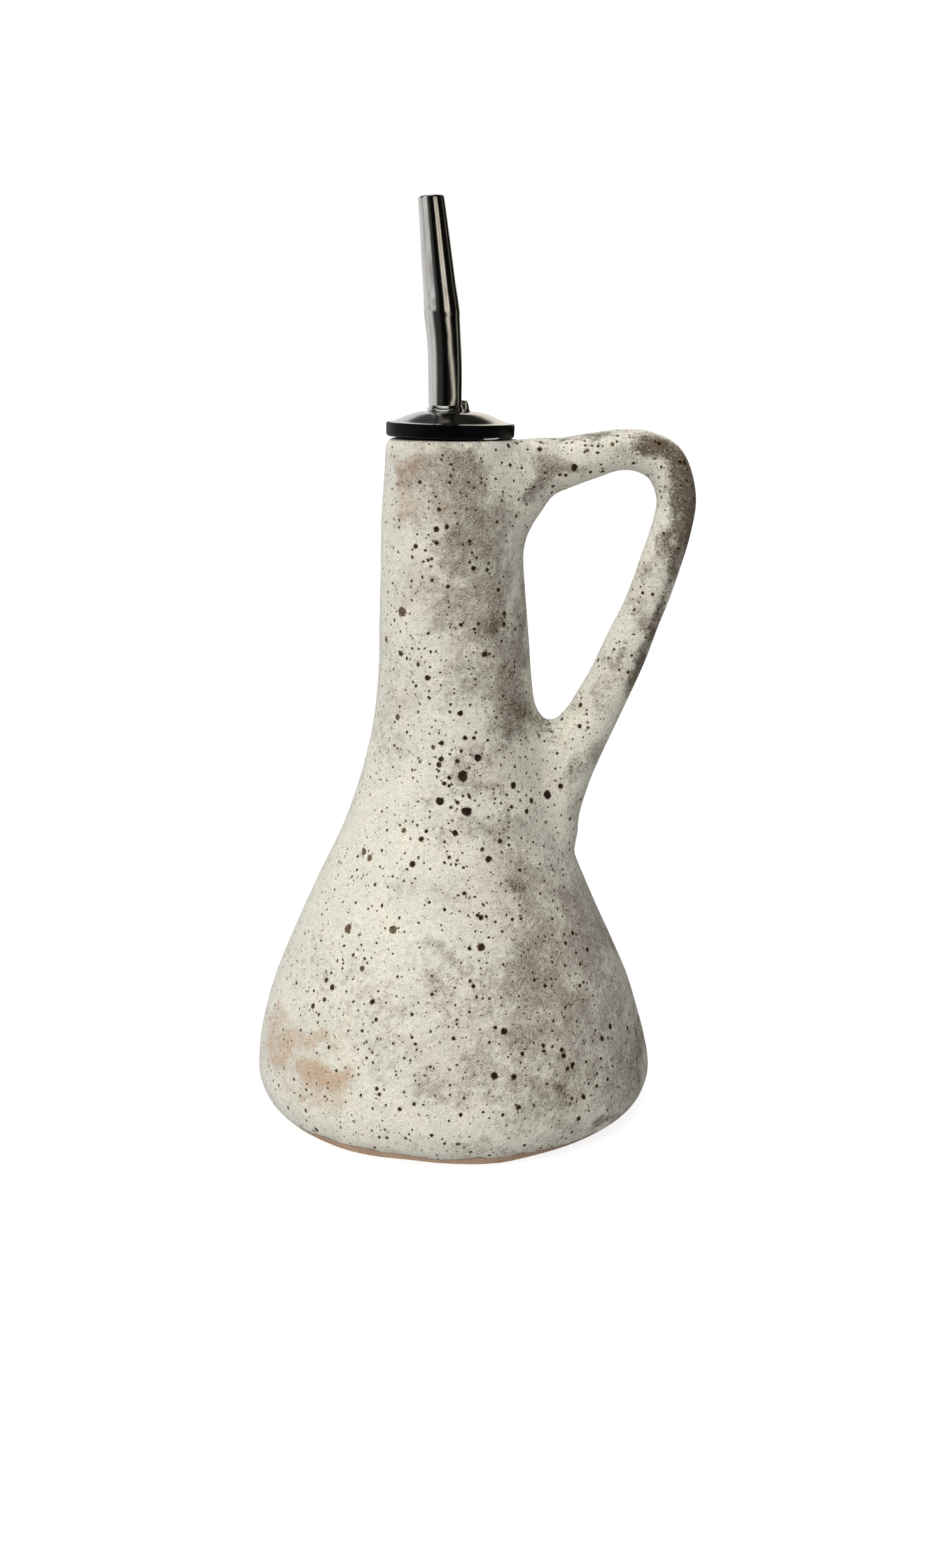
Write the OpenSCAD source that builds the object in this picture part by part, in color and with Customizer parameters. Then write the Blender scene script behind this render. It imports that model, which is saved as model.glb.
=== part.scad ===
// Handmade stoneware oil bottle with a pulled strap handle, and a bent steel pourer in its neck.
// Millimetres. The origin is the centre of the flat foot, +Z is up, and +X points to the handle.

/* [Bottle] */
// Height of the rim above the foot
rim_h = 190; // [184:1:196]
// Widest radius of the body, just above the foot
belly_r = 56.7; // [55:0.1:58.5]
// Thickness of the fired wall
wall = 6.2; // [5:0.1:6.6]
// Thickness of the floor
floor_t = 7; // [5:0.5:9]

/* [Neck] */
// Radius of the bore that holds the stopper
bore_r = 10.9; // [10.5:0.1:11.2]
// Depth of that bore below the rim
bore_d = 34; // [31:1:38]

/* [Handle] */
// How far the handle is moved out from its nominal place
handle_out = 0; // [-1:0.1:2]
// Thickness of the strap, as a share of its nominal thickness
handle_scale = 1; // [0.9:0.01:1.1]

/* [Stopper] */
// Radius of the black flange that covers the rim
flange_r = 17.3; // [16:0.1:18]
// Thickness of the flange at its edge
flange_t = 3.4; // [2.8:0.1:4]
// Depth of the stopper below the flange
plug_d = 27; // [24:0.5:28]
// Number of sealing ribs
ribs = 4; // [3:1:5]
// Clearance between the ribs and the bore
rib_gap = 0.06; // [0.02:0.01:0.1]

/* [Spout] */
// Outer radius of the tube where it leaves the cap
tube_r = 4.6; // [4.4:0.05:4.8]
// Outer radius at the tip
tip_r = 3.55; // [3.2:0.05:3.9]
// Thickness of the tube's steel
tube_t = 0.6; // [0.5:0.05:0.8]
// Height of the bend above the rim
bend_h = 34; // [31:0.5:36]
// Lean of the lower length, away from the handle, in degrees
lean_low = 2; // [0:0.5:3]
// Lean of the upper length, away from the handle, in degrees
lean_up = 5; // [3:0.5:8]
// Lean of the upper length to the back, in degrees
lean_back = 4; // [0:0.5:8]
// Length of the tapered upper length
upper_l = 30; // [26:0.5:32]

/* [Vent] */
// Outer radius of the vent tube
vent_r = 1.4; // [1.3:0.05:1.5]
// How far the vent tube reaches below the stopper
vent_d = 10; // [4:0.5:14]

/* [Hidden] */
kz = rim_h / 190;
seat = 0.2;                                   // flange rests this far above the highest point of the rim
fz = rim_h + seat;                            // underside of the flange
cz = fz + flange_t;                           // top of the flange's edge, where the steel cap sits
sx = -1.9;                                    // axis of the spout tube where it leaves the cap
vx = 3.4;                                     // axis of the vent tube
vy = 3.8;
fit = 0.02;                                   // gap of the steel tubes in the stopper's holes

// Outer profile of the thrown body as [radius, height], from the edge of the foot to the inside of the lip.
outer_pts = [[50.2, 0], [52.6, 2], [55.2, 5], [56.7, 10], [56.1, 17], [54.4, 25], [51.4, 35],
    [47.4, 45], [43, 55], [38.5, 65], [34, 75], [29.9, 85], [26.7, 95], [24.1, 105],
    [22.3, 115], [21.2, 125], [20.6, 135], [20.2, 145], [19.6, 155], [19.4, 165], [19, 175],
    [18.6, 183], [18.1, 187.4], [16.6, 189.5], [14.6, 190], [12.8, 189.3], [11.6, 187.6]];

// Nominal stations along the handle: [x, z, half thickness in the plane, half depth].
strap_pts = [[4, 175.5, 12.5, 8], [11, 176.8, 12.2, 8.4], [17.5, 179.2, 10.6, 8], [24, 182, 8.2, 7.4],
    [30.5, 183.6, 6.7, 6.9], [37.5, 185.4, 6.1, 6.6], [45, 187, 5.5, 6.4], [52.3, 186.6, 5.7, 6.4],
    [58.3, 182.7, 5.9, 6.5], [61.3, 174.5, 5.4, 6.6], [60.2, 166, 5.4, 6.7], [57, 155, 5.5, 6.8],
    [53.4, 145, 5.7, 7], [49.2, 135, 6.1, 7.2], [44.9, 125, 6.5, 7.5], [40, 115, 6.8, 7.9],
    [35.4, 105, 7, 8.4], [31.4, 96, 7.2, 9.2], [28.6, 87.5, 7.3, 10], [27, 79, 7.3, 10.3],
    [25.6, 71, 6, 9]];

function scaled(p) = [p[0] + (belly_r - 56.7) * max(0, 1 - p[1] / 110), p[1] * kz];
function cr(a, b, c, d, t) = 0.5 * (2 * b + (c - a) * t + (2 * a - 5 * b + 4 * c - d) * t * t
    + (3 * b - a - 3 * c + d) * t * t * t);
// Smooth curve through points of any dimension, n steps between each two.
function smooth(p, n) = [for (i = [0 : len(p) - 2]) for (k = [0 : n - 1])
    cr(p[max(i - 1, 0)], p[i], p[i + 1], p[min(i + 2, len(p) - 1)], k / n), p[len(p) - 1]];

body_out = smooth([for (p = outer_pts) scaled(p)], 2);
// Inside of the wall: the outer profile moved in, from the floor's fillet up to the neck bore.
inner_pts = concat([[40, floor_t], [46.4, floor_t + 2.2]],
    [for (i = [5 : 18]) let(q = scaled(outer_pts[i]))
        [q[0] - wall - max(0, (q[1] - 110 * kz) / (34 * kz)) * 0.9, q[1]]],
    [[bore_r + 0.6, rim_h - bore_d + 1.5]]);
body_in = smooth(inner_pts, 2);

function st(p) = [p[0] + handle_out * max(0, min(1, (p[0] - 15) / 20)), p[1] * kz,
    p[2] * handle_scale, p[3] * handle_scale];
strap = smooth([for (p = strap_pts) st(p)], 3);
nr = len(strap);
ns = 24;
function tan2(i) = let(a = strap[max(i - 1, 0)], b = strap[min(i + 1, nr - 1)], d = [b[0] - a[0], b[1] - a[1]])
    d / norm(d);
// Rounded strap section: an ellipse with slightly flattened sides.
function sq(v) = sign(v) * pow(abs(v), 0.86);
function ring(i) = let(s = strap[i], t = tan2(i), n = [-t[1], t[0]]) [for (k = [0 : ns - 1])
    let(a = 360 * k / ns, u = sq(cos(a)) * s[2], v = sq(sin(a)) * s[3]) [s[0] + n[0] * u, v, s[1] + n[1] * u]];

module strap_solid() {
    pts = [for (i = [0 : nr - 1]) each ring(i)];
    side = [for (i = [0 : nr - 2]) for (k = [0 : ns - 1]) let(j = (k + 1) % ns)
        each [[i * ns + k, i * ns + j, (i + 1) * ns + j], [i * ns + k, (i + 1) * ns + j, (i + 1) * ns + k]]];
    ends = [[for (k = [ns - 1 : -1 : 0]) k], [for (k = [0 : ns - 1]) (nr - 1) * ns + k]];
    polyhedron(points = pts, faces = concat(side, ends), convexity = 6);
}

module bottle() {
    color([0.80, 0.79, 0.74]) difference() {
        union() {
            rotate_extrude($fn = 96) polygon(concat([[0, 0]], body_out, [[0, rim_h - 2.4]]));
            strap_solid();
        }
        rotate_extrude($fn = 96) polygon(concat([[0, floor_t]], body_in, [[0, rim_h - bore_d + 1.5]]));
        translate([0, 0, rim_h - bore_d]) cylinder(r = bore_r, h = bore_d + 4, $fn = 96);
    }
}

// One sealing rib: a thin disc that tapers towards the bottom.
module rib(z) {
    translate([0, 0, z]) cylinder(r1 = 8.4, r2 = bore_r - rib_gap, h = 2.2, $fn = 64);
    translate([0, 0, z + 2.2]) cylinder(r = bore_r - rib_gap, h = 0.9, $fn = 64);
}

module stopper() {
    color([0.05, 0.05, 0.055]) difference() {
        union() {
            translate([0, 0, fz - plug_d]) cylinder(r = 8.2, h = plug_d + 1, $fn = 64);
            for (k = [0 : ribs - 1]) rib(fz - plug_d + 2 + k * (plug_d - 5.5) / (ribs - 1) - 1.5);
            rotate_extrude($fn = 96) polygon([[0, fz], [flange_r - 1.1, fz], [flange_r - 0.3, fz + 0.4],
                [flange_r, fz + 1.2], [flange_r, cz - 0.9], [flange_r - 0.3, cz - 0.3],
                [flange_r - 0.9, cz], [13.6, cz + 1.3], [10.6, cz + 2.3], [7.2, cz + 2.75], [0, cz + 2.85]]);
        }
        translate([sx, 0, fz - plug_d - 5]) cylinder(r = tube_r + fit, h = plug_d + 30, $fn = 64);
        translate([vx, vy, fz - plug_d - 5]) cylinder(r = vent_r + fit, h = plug_d + 30, $fn = 32);
    }
}

// Pressed steel disc over the flange, with a low collar round the tube.
module flange_cap() {
    color([0.62, 0.62, 0.6]) difference() {
        union() {
            rotate_extrude($fn = 96) polygon([[0, cz + 2.89], [7.2, cz + 2.79], [10.6, cz + 2.34], [13.6, cz + 1.34],
                [flange_r - 0.85, cz + 0.04], [flange_r - 0.35, cz + 0.04], [flange_r - 0.35, cz + 0.5],
                [15.2, cz + 1.35], [13, cz + 2.15], [10.5, cz + 2.85], [7.6, cz + 3.25], [0, cz + 3.4]]);
            translate([sx, 0, cz + 3]) cylinder(r = tube_r + 0.9, h = 1.1, $fn = 64);
        }
        translate([sx, 0, cz - 5]) cylinder(r = tube_r + fit, h = 20, $fn = 64);
        translate([vx, vy, cz - 5]) cylinder(r = vent_r + fit, h = 20, $fn = 32);
    }
}

foot_z = fz - plug_d - 1;                     // lower end of the spout tube, just below the stopper
lift_z = cz + 5.8;                            // height at which the tube starts to lean
tip_l = upper_l;
d_low = [-sin(lean_low), 0, cos(lean_low)];
d_up = [-sin(lean_up), sin(lean_back), sqrt(1 - pow(sin(lean_up), 2) - pow(sin(lean_back), 2))];
p_low = [sx, 0, lift_z];
p_bend = p_low + d_low * (rim_h + bend_h - lift_z) / cos(lean_low);
function bez(a, b, c, t) = a * (1 - t) * (1 - t) + b * 2 * t * (1 - t) + c * t * t;
// Line of the leaning tube: each point and its share of the way along the taper.
line = concat([[p_low - [0, 0, 1], 0], [p_low, 0], [p_low + d_low * 6, 0], [p_low + d_low * 13, 0]],
    [for (k = [0 : 5]) [bez(p_bend - d_low * 3, p_bend, p_bend + d_up * 3, k / 5), k < 3 ? 0 : 0.02 * (k - 2)]],
    [for (k = [1 : 4]) [p_bend + d_up * (3 + (tip_l - 3) * k / 4), 0.06 + 0.94 * k / 4]]);
nl = len(line);
nt = 56;

// The leaning tube from the bend of the line: g is the wall left off it, and cut lengthens its tip.
module leaning(g, cut) {
    pts = [for (i = [0 : nl - 1]) let(a = line[max(i - 1, 0)][0], b = line[min(i + 1, nl - 1)][0],
        d = (b - a) / norm(b - a), u = cross(d, [0, 1, 0]) / norm(cross(d, [0, 1, 0])), v = cross(d, u),
        c = line[i][0] + (i == nl - 1 ? d * cut : i == 0 ? -d * cut : [0, 0, 0]),
        r = tube_r - 0.01 - g - (tube_r - tip_r) * line[i][1])
        each [for (k = [0 : nt - 1]) c + (u * cos(360 * k / nt) + v * sin(360 * k / nt)) * r]];
    side = [for (i = [0 : nl - 2]) for (k = [0 : nt - 1]) let(j = (k + 1) % nt)
        each [[i * nt + k, (i + 1) * nt + j, i * nt + j], [i * nt + k, (i + 1) * nt + k, (i + 1) * nt + j]]];
    ends = [[for (k = [0 : nt - 1]) k], [for (k = [nt - 1 : -1 : 0]) (nl - 1) * nt + k]];
    polyhedron(points = pts, faces = concat(side, ends), convexity = 4);
}

module spout_tube() {
    color([0.6, 0.6, 0.58]) difference() {
        union() {
            translate([sx, 0, foot_z]) cylinder(r = tube_r, h = lift_z - foot_z, $fn = 64);
            leaning(0, 0);
            translate([sx, 0, cz + 4.2]) cylinder(r = tube_r + 0.4, h = 1, $fn = 64);
        }
        translate([sx, 0, foot_z - 1]) cylinder(r = tube_r - tube_t, h = lift_z - foot_z + 1, $fn = 64);
        leaning(tube_t + 0.01, 1);
    }
}

module vent_tube() {
    color([0.55, 0.55, 0.54]) translate([vx, vy, 0]) difference() {
        translate([0, 0, fz - plug_d - vent_d]) cylinder(r = vent_r, h = plug_d + vent_d + 9.6, $fn = 32);
        translate([0, 0, fz - plug_d - vent_d - 1]) cylinder(r = vent_r - 0.45, h = plug_d + vent_d + 12, $fn = 32);
    }
}

bottle();
stopper();
flange_cap();
spout_tube();
vent_tube();
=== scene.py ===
# Finish, light and camera for the handmade stoneware oil bottle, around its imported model.
# Lengths in the geometry code are millimetres; objects are made in metres.
import math

import bpy
import numpy as np
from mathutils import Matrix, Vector
from mathutils.bvhtree import BVHTree


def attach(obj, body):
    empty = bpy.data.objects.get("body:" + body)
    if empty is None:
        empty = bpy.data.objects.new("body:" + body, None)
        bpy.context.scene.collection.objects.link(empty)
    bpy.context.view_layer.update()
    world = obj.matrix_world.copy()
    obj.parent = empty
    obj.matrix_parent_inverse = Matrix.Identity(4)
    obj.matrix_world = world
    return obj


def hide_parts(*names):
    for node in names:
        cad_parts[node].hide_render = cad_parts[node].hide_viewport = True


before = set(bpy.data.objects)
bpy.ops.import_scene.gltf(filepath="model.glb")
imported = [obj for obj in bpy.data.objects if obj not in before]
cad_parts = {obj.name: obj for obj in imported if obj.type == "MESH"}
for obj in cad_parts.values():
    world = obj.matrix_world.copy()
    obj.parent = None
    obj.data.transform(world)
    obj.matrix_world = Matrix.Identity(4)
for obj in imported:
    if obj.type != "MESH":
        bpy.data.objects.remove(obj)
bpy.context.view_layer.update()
scene = bpy.context.scene

# ---------------------------------------------------------------- camera, as the photograph was taken
FOCAL = 3180.0                      # in pixels of the 1493 x 2464 frame
EYE = (6.2, -556.0, 231.0)          # millimetres
PITCH = math.radians(13.9)          # looking down
cam_data = bpy.data.cameras.new("camera")
cam_data.sensor_width = 36.0
cam_data.lens = FOCAL * 36.0 / 2464.0
cam_data.clip_start = 0.01
cam_data.clip_end = 20.0
camera = bpy.data.objects.new("camera", cam_data)
camera.location = [c / 1000 for c in EYE]
camera.rotation_euler = (math.pi / 2 - PITCH, 0.0, 0.0)
scene.collection.objects.link(camera)
scene.camera = camera


def to_pixels(p):
    """Where points in millimetres fall in the 1493 x 2464 frame."""
    x, y, z = p[:, 0] - EYE[0], p[:, 1] - EYE[1], p[:, 2] - EYE[2]
    depth = y * math.cos(PITCH) - z * math.sin(PITCH)
    up = z * math.cos(PITCH) + y * math.sin(PITCH)
    return 746.5 + FOCAL * x / depth, 1232.0 - FOCAL * up / depth


def pixel_ray(u, v):
    a, b = (u - 746.5) / FOCAL, (1232.0 - v) / FOCAL
    d = Vector((a, math.cos(PITCH) + b * math.sin(PITCH), b * math.cos(PITCH) - math.sin(PITCH)))
    return d.normalized()


# ---------------------------------------------------------------- curves and distance fields
def curve(points, n):
    """Smooth curve through the points, n steps between each two."""
    p = np.array(points, float)
    q = np.vstack([2 * p[0] - p[1], p, 2 * p[-1] - p[-2]])
    out = []
    for i in range(1, len(q) - 2):
        a, b, c, d = q[i - 1], q[i], q[i + 1], q[i + 2]
        for t in np.arange(n) / n:
            out.append(0.5 * (2 * b + (c - a) * t + (2 * a - 5 * b + 4 * c - d) * t * t + (3 * b - a - 3 * c + d) * t ** 3))
    out.append(q[-2])
    return np.array(out)


def spline(xs, ys):
    """Cubic through (xs, ys), as a function."""
    xs, ys = np.array(xs, float), np.array(ys, float)
    d = np.diff(ys) / np.diff(xs)
    m = np.concatenate([[d[0]], (d[1:] + d[:-1]) / 2, [d[-1]]])

    def f(x):
        x = np.clip(x, xs[0], xs[-1])
        i = np.clip(np.searchsorted(xs, x) - 1, 0, len(xs) - 2)
        h = xs[i + 1] - xs[i]
        t = (x - xs[i]) / h
        return ((2 * t ** 3 - 3 * t * t + 1) * ys[i] + (t ** 3 - 2 * t * t + t) * h * m[i]
                + (-2 * t ** 3 + 3 * t * t) * ys[i + 1] + (t ** 3 - t * t) * h * m[i + 1])

    return f


def smooth01(a, b, x):
    t = np.clip((x - a) / (b - a), 0, 1)
    return t * t * (3 - 2 * t)


class Field2:
    """Signed distance to a closed outline in the (r, z) half plane, kept as a table."""

    def __init__(self, outline, r0, r1, z0, z1, step):
        self.r0, self.z0, self.step = r0, z0, step
        r = np.arange(r0, r1 + step, step)
        z = np.arange(z0, z1 + step, step)
        R, Z = np.meshgrid(r, z, indexing="ij")
        best = np.full(R.shape, 1e9)
        inside = np.zeros(R.shape, bool)
        a = np.array(outline, float)
        b = np.roll(a, -1, axis=0)
        for (ax, az), (bx, bz) in zip(a, b):
            dx, dz = bx - ax, bz - az
            l2 = dx * dx + dz * dz
            if l2 < 1e-12:
                continue
            t = np.clip(((R - ax) * dx + (Z - az) * dz) / l2, 0, 1)
            best = np.minimum(best, (R - ax - t * dx) ** 2 + (Z - az - t * dz) ** 2)
            if az != bz:
                inside ^= ((az > Z) != (bz > Z)) & (R < ax + (Z - az) * dx / dz)
        d = np.sqrt(best)
        self.d = np.where(inside, -d, d)
        self.shape = self.d.shape

    def __call__(self, r, z):
        u = np.clip((r - self.r0) / self.step, 0, self.shape[0] - 1.001)
        v = np.clip((z - self.z0) / self.step, 0, self.shape[1] - 1.001)
        i, j = u.astype(int), v.astype(int)
        u, v = u - i, v - j
        d = self.d
        return ((d[i, j] * (1 - u) + d[i + 1, j] * u) * (1 - v) + (d[i, j + 1] * (1 - u) + d[i + 1, j + 1] * u) * v)


# Thrown outline, [radius, height]: edge of the foot, belly, shoulder, neck, rim and the inside of the lip.
OUTER = [[49.9, 0], [52.45, 1.8], [54.9, 4.8], [56.4, 10], [55.8, 17], [54.1, 25], [51.25, 35], [48.3, 42.5], [45.1, 50],
         [41.65, 57.5], [38.3, 65], [35.0, 72.5], [31.75, 80], [28.95, 87.5], [26.6, 95], [24.55, 102.5], [22.9, 110],
         [21.87, 117.5], [21.08, 125], [20.68, 132.5], [20.43, 140], [20.03, 147.5], [19.62, 155], [19.45, 162.5], [19.22, 170],
         [18.75, 176.5], [18.35, 182], [18.15, 186.3], [17.8, 188.5], [16.8, 189.85], [14.9, 190.12], [13.0, 189.5],
         [11.7, 188.0], [11.05, 186.0], [10.9, 183.5]]
INNER = [[40, 7], [45.2, 8.6], [48.6, 12.5], [49.4, 18], [48.2, 25], [45.3, 35], [41.3, 45], [36.9, 55], [32.4, 65], [27.8, 75],
         [23.7, 85], [20.5, 95], [18.0, 105], [16.1, 115], [14.7, 125], [13.8, 135], [13.2, 145], [12.3, 154], [11.2, 158.5],
         [10.9, 162]]
# The throwing axis wanders a little: its shift along X and along Y at each height.
SHIFT_X = spline([0, 10, 25, 37, 50, 65, 80, 95, 110, 125, 140, 155, 190],
                 [0.0, 0.1, -0.6, -0.8, -0.88, -0.64, -0.08, 0.38, 0.46, 0.37, 0.18, 0.0, 0.0])
SHIFT_Y = spline([0, 25, 50, 80, 110, 135, 160, 190], [0.0, 0.35, 0.3, -0.25, -0.4, -0.2, 0.1, 0.0])
# Pulled handle: stations along its middle, [x, z, half thickness in the plane of the handle, half depth].
STRAP = [[4, 175.5, 12.5, 8], [11, 176.7, 12.1, 8.4], [17.5, 179.4, 10.75, 8.0], [24, 182.1, 8.4, 7.4],
         [30.5, 183.6, 6.8, 6.9], [37.5, 185.4, 6.1, 6.6], [45, 187, 5.45, 6.4], [52.3, 186.5, 5.7, 6.4],
         [58.3, 182.7, 5.85, 6.5], [61.15, 174.5, 5.4, 6.6], [60.1, 166, 5.45, 6.7], [56.9, 155, 5.55, 6.8],
         [53.4, 145, 5.65, 7], [49.2, 135, 6.05, 7.2], [44.9, 125, 6.5, 7.5], [40, 115, 6.8, 7.9],
         [35.4, 105, 7.0, 8.4], [31.4, 96, 7.2, 9.2], [28.6, 87.5, 7.3, 10], [27.0, 79, 7.3, 10.3],
         [25.6, 71, 6, 9]]


def waves(seed, n, low, high):
    """Smooth seeded field of position: n sine waves with wavelengths from low to high, spread about 1."""
    rng = np.random.RandomState(seed)
    k = rng.normal(size=(n, 3))
    k /= np.linalg.norm(k, axis=1)[:, None]
    k *= (2 * math.pi / np.exp(rng.uniform(math.log(low), math.log(high), n)))[:, None]
    ph = rng.uniform(0, 2 * math.pi, n)

    def f(p):
        s = np.zeros(len(p))
        for kk, pp in zip(k, ph):
            s += np.sin(p @ kk + pp)
        return s / math.sqrt(n)

    return f


class Clay:
    """The fired bottle as one signed field: negative inside the clay."""

    def __init__(self):
        out = curve(OUTER, 5)
        self.outer = Field2(np.vstack([[[-6, 0]], out, [[-6, 183.5]]]), -3, 76, -8, 198, 0.3)
        inn = curve(INNER, 4)
        self.inner = Field2(np.vstack([[[-6, 7]], inn, [[10.9, 215], [-6, 215]]]), -3, 76, -8, 204, 0.4)
        s = curve(STRAP, 7)
        self.sx, self.sz, self.sa, self.sb = s.T
        self.big = waves(11, 14, 34, 70)
        self.small = waves(12, 22, 9, 20)
        self.hand = waves(13, 14, 12, 26)

    def strap(self, p):
        """Signed distance to the handle, and the share of the way along it."""
        x, y, z = p.T
        best = np.full(len(p), 1e9)
        a = np.zeros(len(p))
        b = np.ones(len(p))
        arc = np.zeros(len(p))
        for i in range(len(self.sx) - 1):
            ax, az = self.sx[i], self.sz[i]
            dx, dz = self.sx[i + 1] - ax, self.sz[i + 1] - az
            t = np.clip(((x - ax) * dx + (z - az) * dz) / (dx * dx + dz * dz), 0, 1)
            d = (x - ax - t * dx) ** 2 + (z - az - t * dz) ** 2
            m = d < best
            best = np.where(m, d, best)
            a = np.where(m, self.sa[i] + t * (self.sa[i + 1] - self.sa[i]), a)
            b = np.where(m, self.sb[i] + t * (self.sb[i + 1] - self.sb[i]), b)
            arc = np.where(m, (i + t) / (len(self.sx) - 1), arc)
        d = np.sqrt(best)
        q = np.maximum((np.abs(d / a) ** 2.25 + np.abs(y / b) ** 2.25) ** (1 / 2.25), 1e-3)
        f = np.sqrt(best + y * y) * (1 - 1 / q)
        return np.where(q < 0.3, -0.7 * np.minimum(a, b), f), arc

    def __call__(self, p):
        x, y, z = p.T
        fade = np.clip((187 - z) / 20, 0, 1) * np.clip((z + 2) / 12, 0, 1)
        xs, ys = x - SHIFT_X(z), y - SHIFT_Y(z)
        r = np.hypot(xs, ys)
        th = np.arctan2(ys, xs)
        # The foot's edge isn't trimmed quite round.
        lobes = (-1.5 * np.exp(-((th + 1.82) / 0.20) ** 2) + 1.1 * np.exp(-((th + 1.33) / 0.16) ** 2)
                 - 0.8 * np.exp(-((th - 0.9) / 0.3) ** 2) + 0.4 * np.sin(3 * th + 1) - 1.0 * np.exp(-((th + 0.5) / 0.35) ** 2))
        oval = 0.22 * np.cos(2 * th + 0.7) * fade
        f = self.outer(r - oval - lobes * np.clip(1 - z / 5.0, 0, 1) ** 1.5, z + (0.030 * y + 0.011 * x) * smooth01(165, 188, z))
        f = f + fade * (0.16 * self.big(p) + 0.05 * self.small(p))
        near = (x > 2) & (np.abs(y) < 26) & (z > 55)
        if near.any():
            q = p[near]
            g, arc = self.strap(q)
            g = g + 0.10 * self.hand(q) * np.clip((q[:, 0] - 22) / 10, 0, 1)
            k = np.where(arc < 0.5, 9.0, 7.5) * np.clip((190.5 - q[:, 2]) / 6, 0.12, 1) * np.clip((q[:, 2] - 70) / 10, 0.4, 1)
            k = np.where(arc > 0.5, k + 7.0 * np.exp(-((q[:, 2] - 110) / 11) ** 2), k)       # thumbed fillet under the loop
            k = np.where(arc < 0.5, k + 2.2 * np.exp(-((q[:, 2] - 173) / 6) ** 2), k)
            h = np.maximum(k - np.abs(f[near] - g), 0) / k
            f[near] = np.minimum(f[near], g) - h * h * k / 4
        g = -self.inner(np.hypot(x, y), z)
        k = 0.8
        h = np.maximum(k - np.abs(f - g), 0) / k
        return np.maximum(f, g) + h * h * k / 4


def surface_nets(field, lo, hi, step):
    """Mesh of field = 0 on a grid, one vertex a cell: (points, quads)."""
    n = [int(math.ceil((b - a) / step)) + 1 for a, b in zip(lo, hi)]
    axes = [lo[i] + step * np.arange(n[i]) for i in range(3)]
    F = np.empty(n)
    X, Y = np.meshgrid(axes[0], axes[1], indexing="ij")
    for k0 in range(0, n[2], 8):
        zz = axes[2][k0:k0 + 8]
        pts = np.stack([np.repeat(X[:, :, None], len(zz), 2), np.repeat(Y[:, :, None], len(zz), 2),
                        np.broadcast_to(zz, X.shape + (len(zz),))], -1)
        F[:, :, k0:k0 + 8] = field(pts.reshape(-1, 3)).reshape(pts.shape[:3])
    S = F < 0
    c = [m - 1 for m in n]
    count = np.zeros(c, np.int8)
    for i in (0, 1):
        for j in (0, 1):
            for k in (0, 1):
                count += S[i:i + c[0], j:j + c[1], k:k + c[2]]
    active = (count > 0) & (count < 8)
    index = np.full(c, -1, np.int64)
    index[active] = np.arange(active.sum())
    ci, cj, ck = np.nonzero(active)
    total = np.zeros((len(ci), 3))
    hits = np.zeros(len(ci))
    for axis in range(3):
        others = [a for a in range(3) if a != axis]
        for u in (0, 1):
            for v in (0, 1):
                o = [0, 0, 0]
                o[others[0]], o[others[1]] = u, v
                a = F[ci + o[0], cj + o[1], ck + o[2]]
                e = list(o)
                e[axis] = 1
                b = F[ci + e[0], cj + e[1], ck + e[2]]
                m = (a < 0) != (b < 0)
                pos = np.tile(np.array(o, float), (len(ci), 1))
                pos[:, axis] = np.where(m, a / np.where(m, a - b, 1), 0)
                total += pos * m[:, None]
                hits += m
    P = np.array(lo) + (np.stack([ci, cj, ck], 1) + total / hits[:, None]) * step
    quads = []
    for axis in range(3):
        a, b = [q for q in range(3) if q != axis]
        sl0 = [slice(None)] * 3
        sl1 = [slice(None)] * 3
        sl0[axis], sl1[axis] = slice(0, -1), slice(1, None)
        ii = np.array(np.nonzero(S[tuple(sl0)] != S[tuple(sl1)]))
        ii = ii[:, (ii[a] > 0) & (ii[b] > 0) & (ii[a] < n[a] - 1) & (ii[b] < n[b] - 1)]
        inside = S[tuple(ii)]

        def cell(da, db):
            q = ii.copy()
            q[a] += da
            q[b] += db
            return index[tuple(q)]

        quad = np.stack([cell(-1, -1), cell(0, -1), cell(0, 0), cell(-1, 0)], 1)
        if axis == 1:
            quad = quad[:, ::-1]
        quad[~inside] = quad[~inside][:, ::-1]
        quads.append(quad)
    return P, np.vstack(quads)


def gradient(field, p, e):
    g = np.empty_like(p)
    for i in range(3):
        d = np.zeros(3)
        d[i] = e
        g[:, i] = (field(p + d) - field(p - d)) / (2 * e)
    return g


def settle(field, p, quads, rounds):
    """Evens the mesh out along the surface and puts its points back on it. Returns the points and outward normals."""
    n = len(p)
    e = np.vstack([quads[:, [0, 1]], quads[:, [1, 2]], quads[:, [2, 3]], quads[:, [3, 0]]])
    e = np.vstack([e, e[:, ::-1]])
    deg = np.bincount(e[:, 0], minlength=n).astype(float)
    for k in range(rounds):
        g = gradient(field, p, 0.35)
        l2 = np.maximum((g * g).sum(1), 0.05)
        f = field(p)
        p = p - g * np.clip(f / l2, -0.6, 0.6)[:, None]
        if k < rounds - 1:
            nrm = g / np.sqrt(l2)[:, None]
            mean = np.stack([np.bincount(e[:, 0], p[e[:, 1], i], n) for i in range(3)], 1) / deg[:, None]
            d = mean - p
            d -= nrm * (d * nrm).sum(1)[:, None]
            p = p + 0.6 * d
    g = gradient(field, p, 0.3)
    g /= np.linalg.norm(g, axis=1)[:, None]
    return p, g


# ---------------------------------------------------------------- mesh helpers
def make_mesh(name, verts_mm, faces, smooth=True):
    me = bpy.data.meshes.new(name)
    v = np.asarray(verts_mm, float) / 1000.0
    me.from_pydata(v.tolist(), [], [list(map(int, f)) for f in faces])
    me.update()
    if smooth:
        me.polygons.foreach_set("use_smooth", [True] * len(me.polygons))
    ob = bpy.data.objects.new(name, me)
    scene.collection.objects.link(ob)
    return ob


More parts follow.
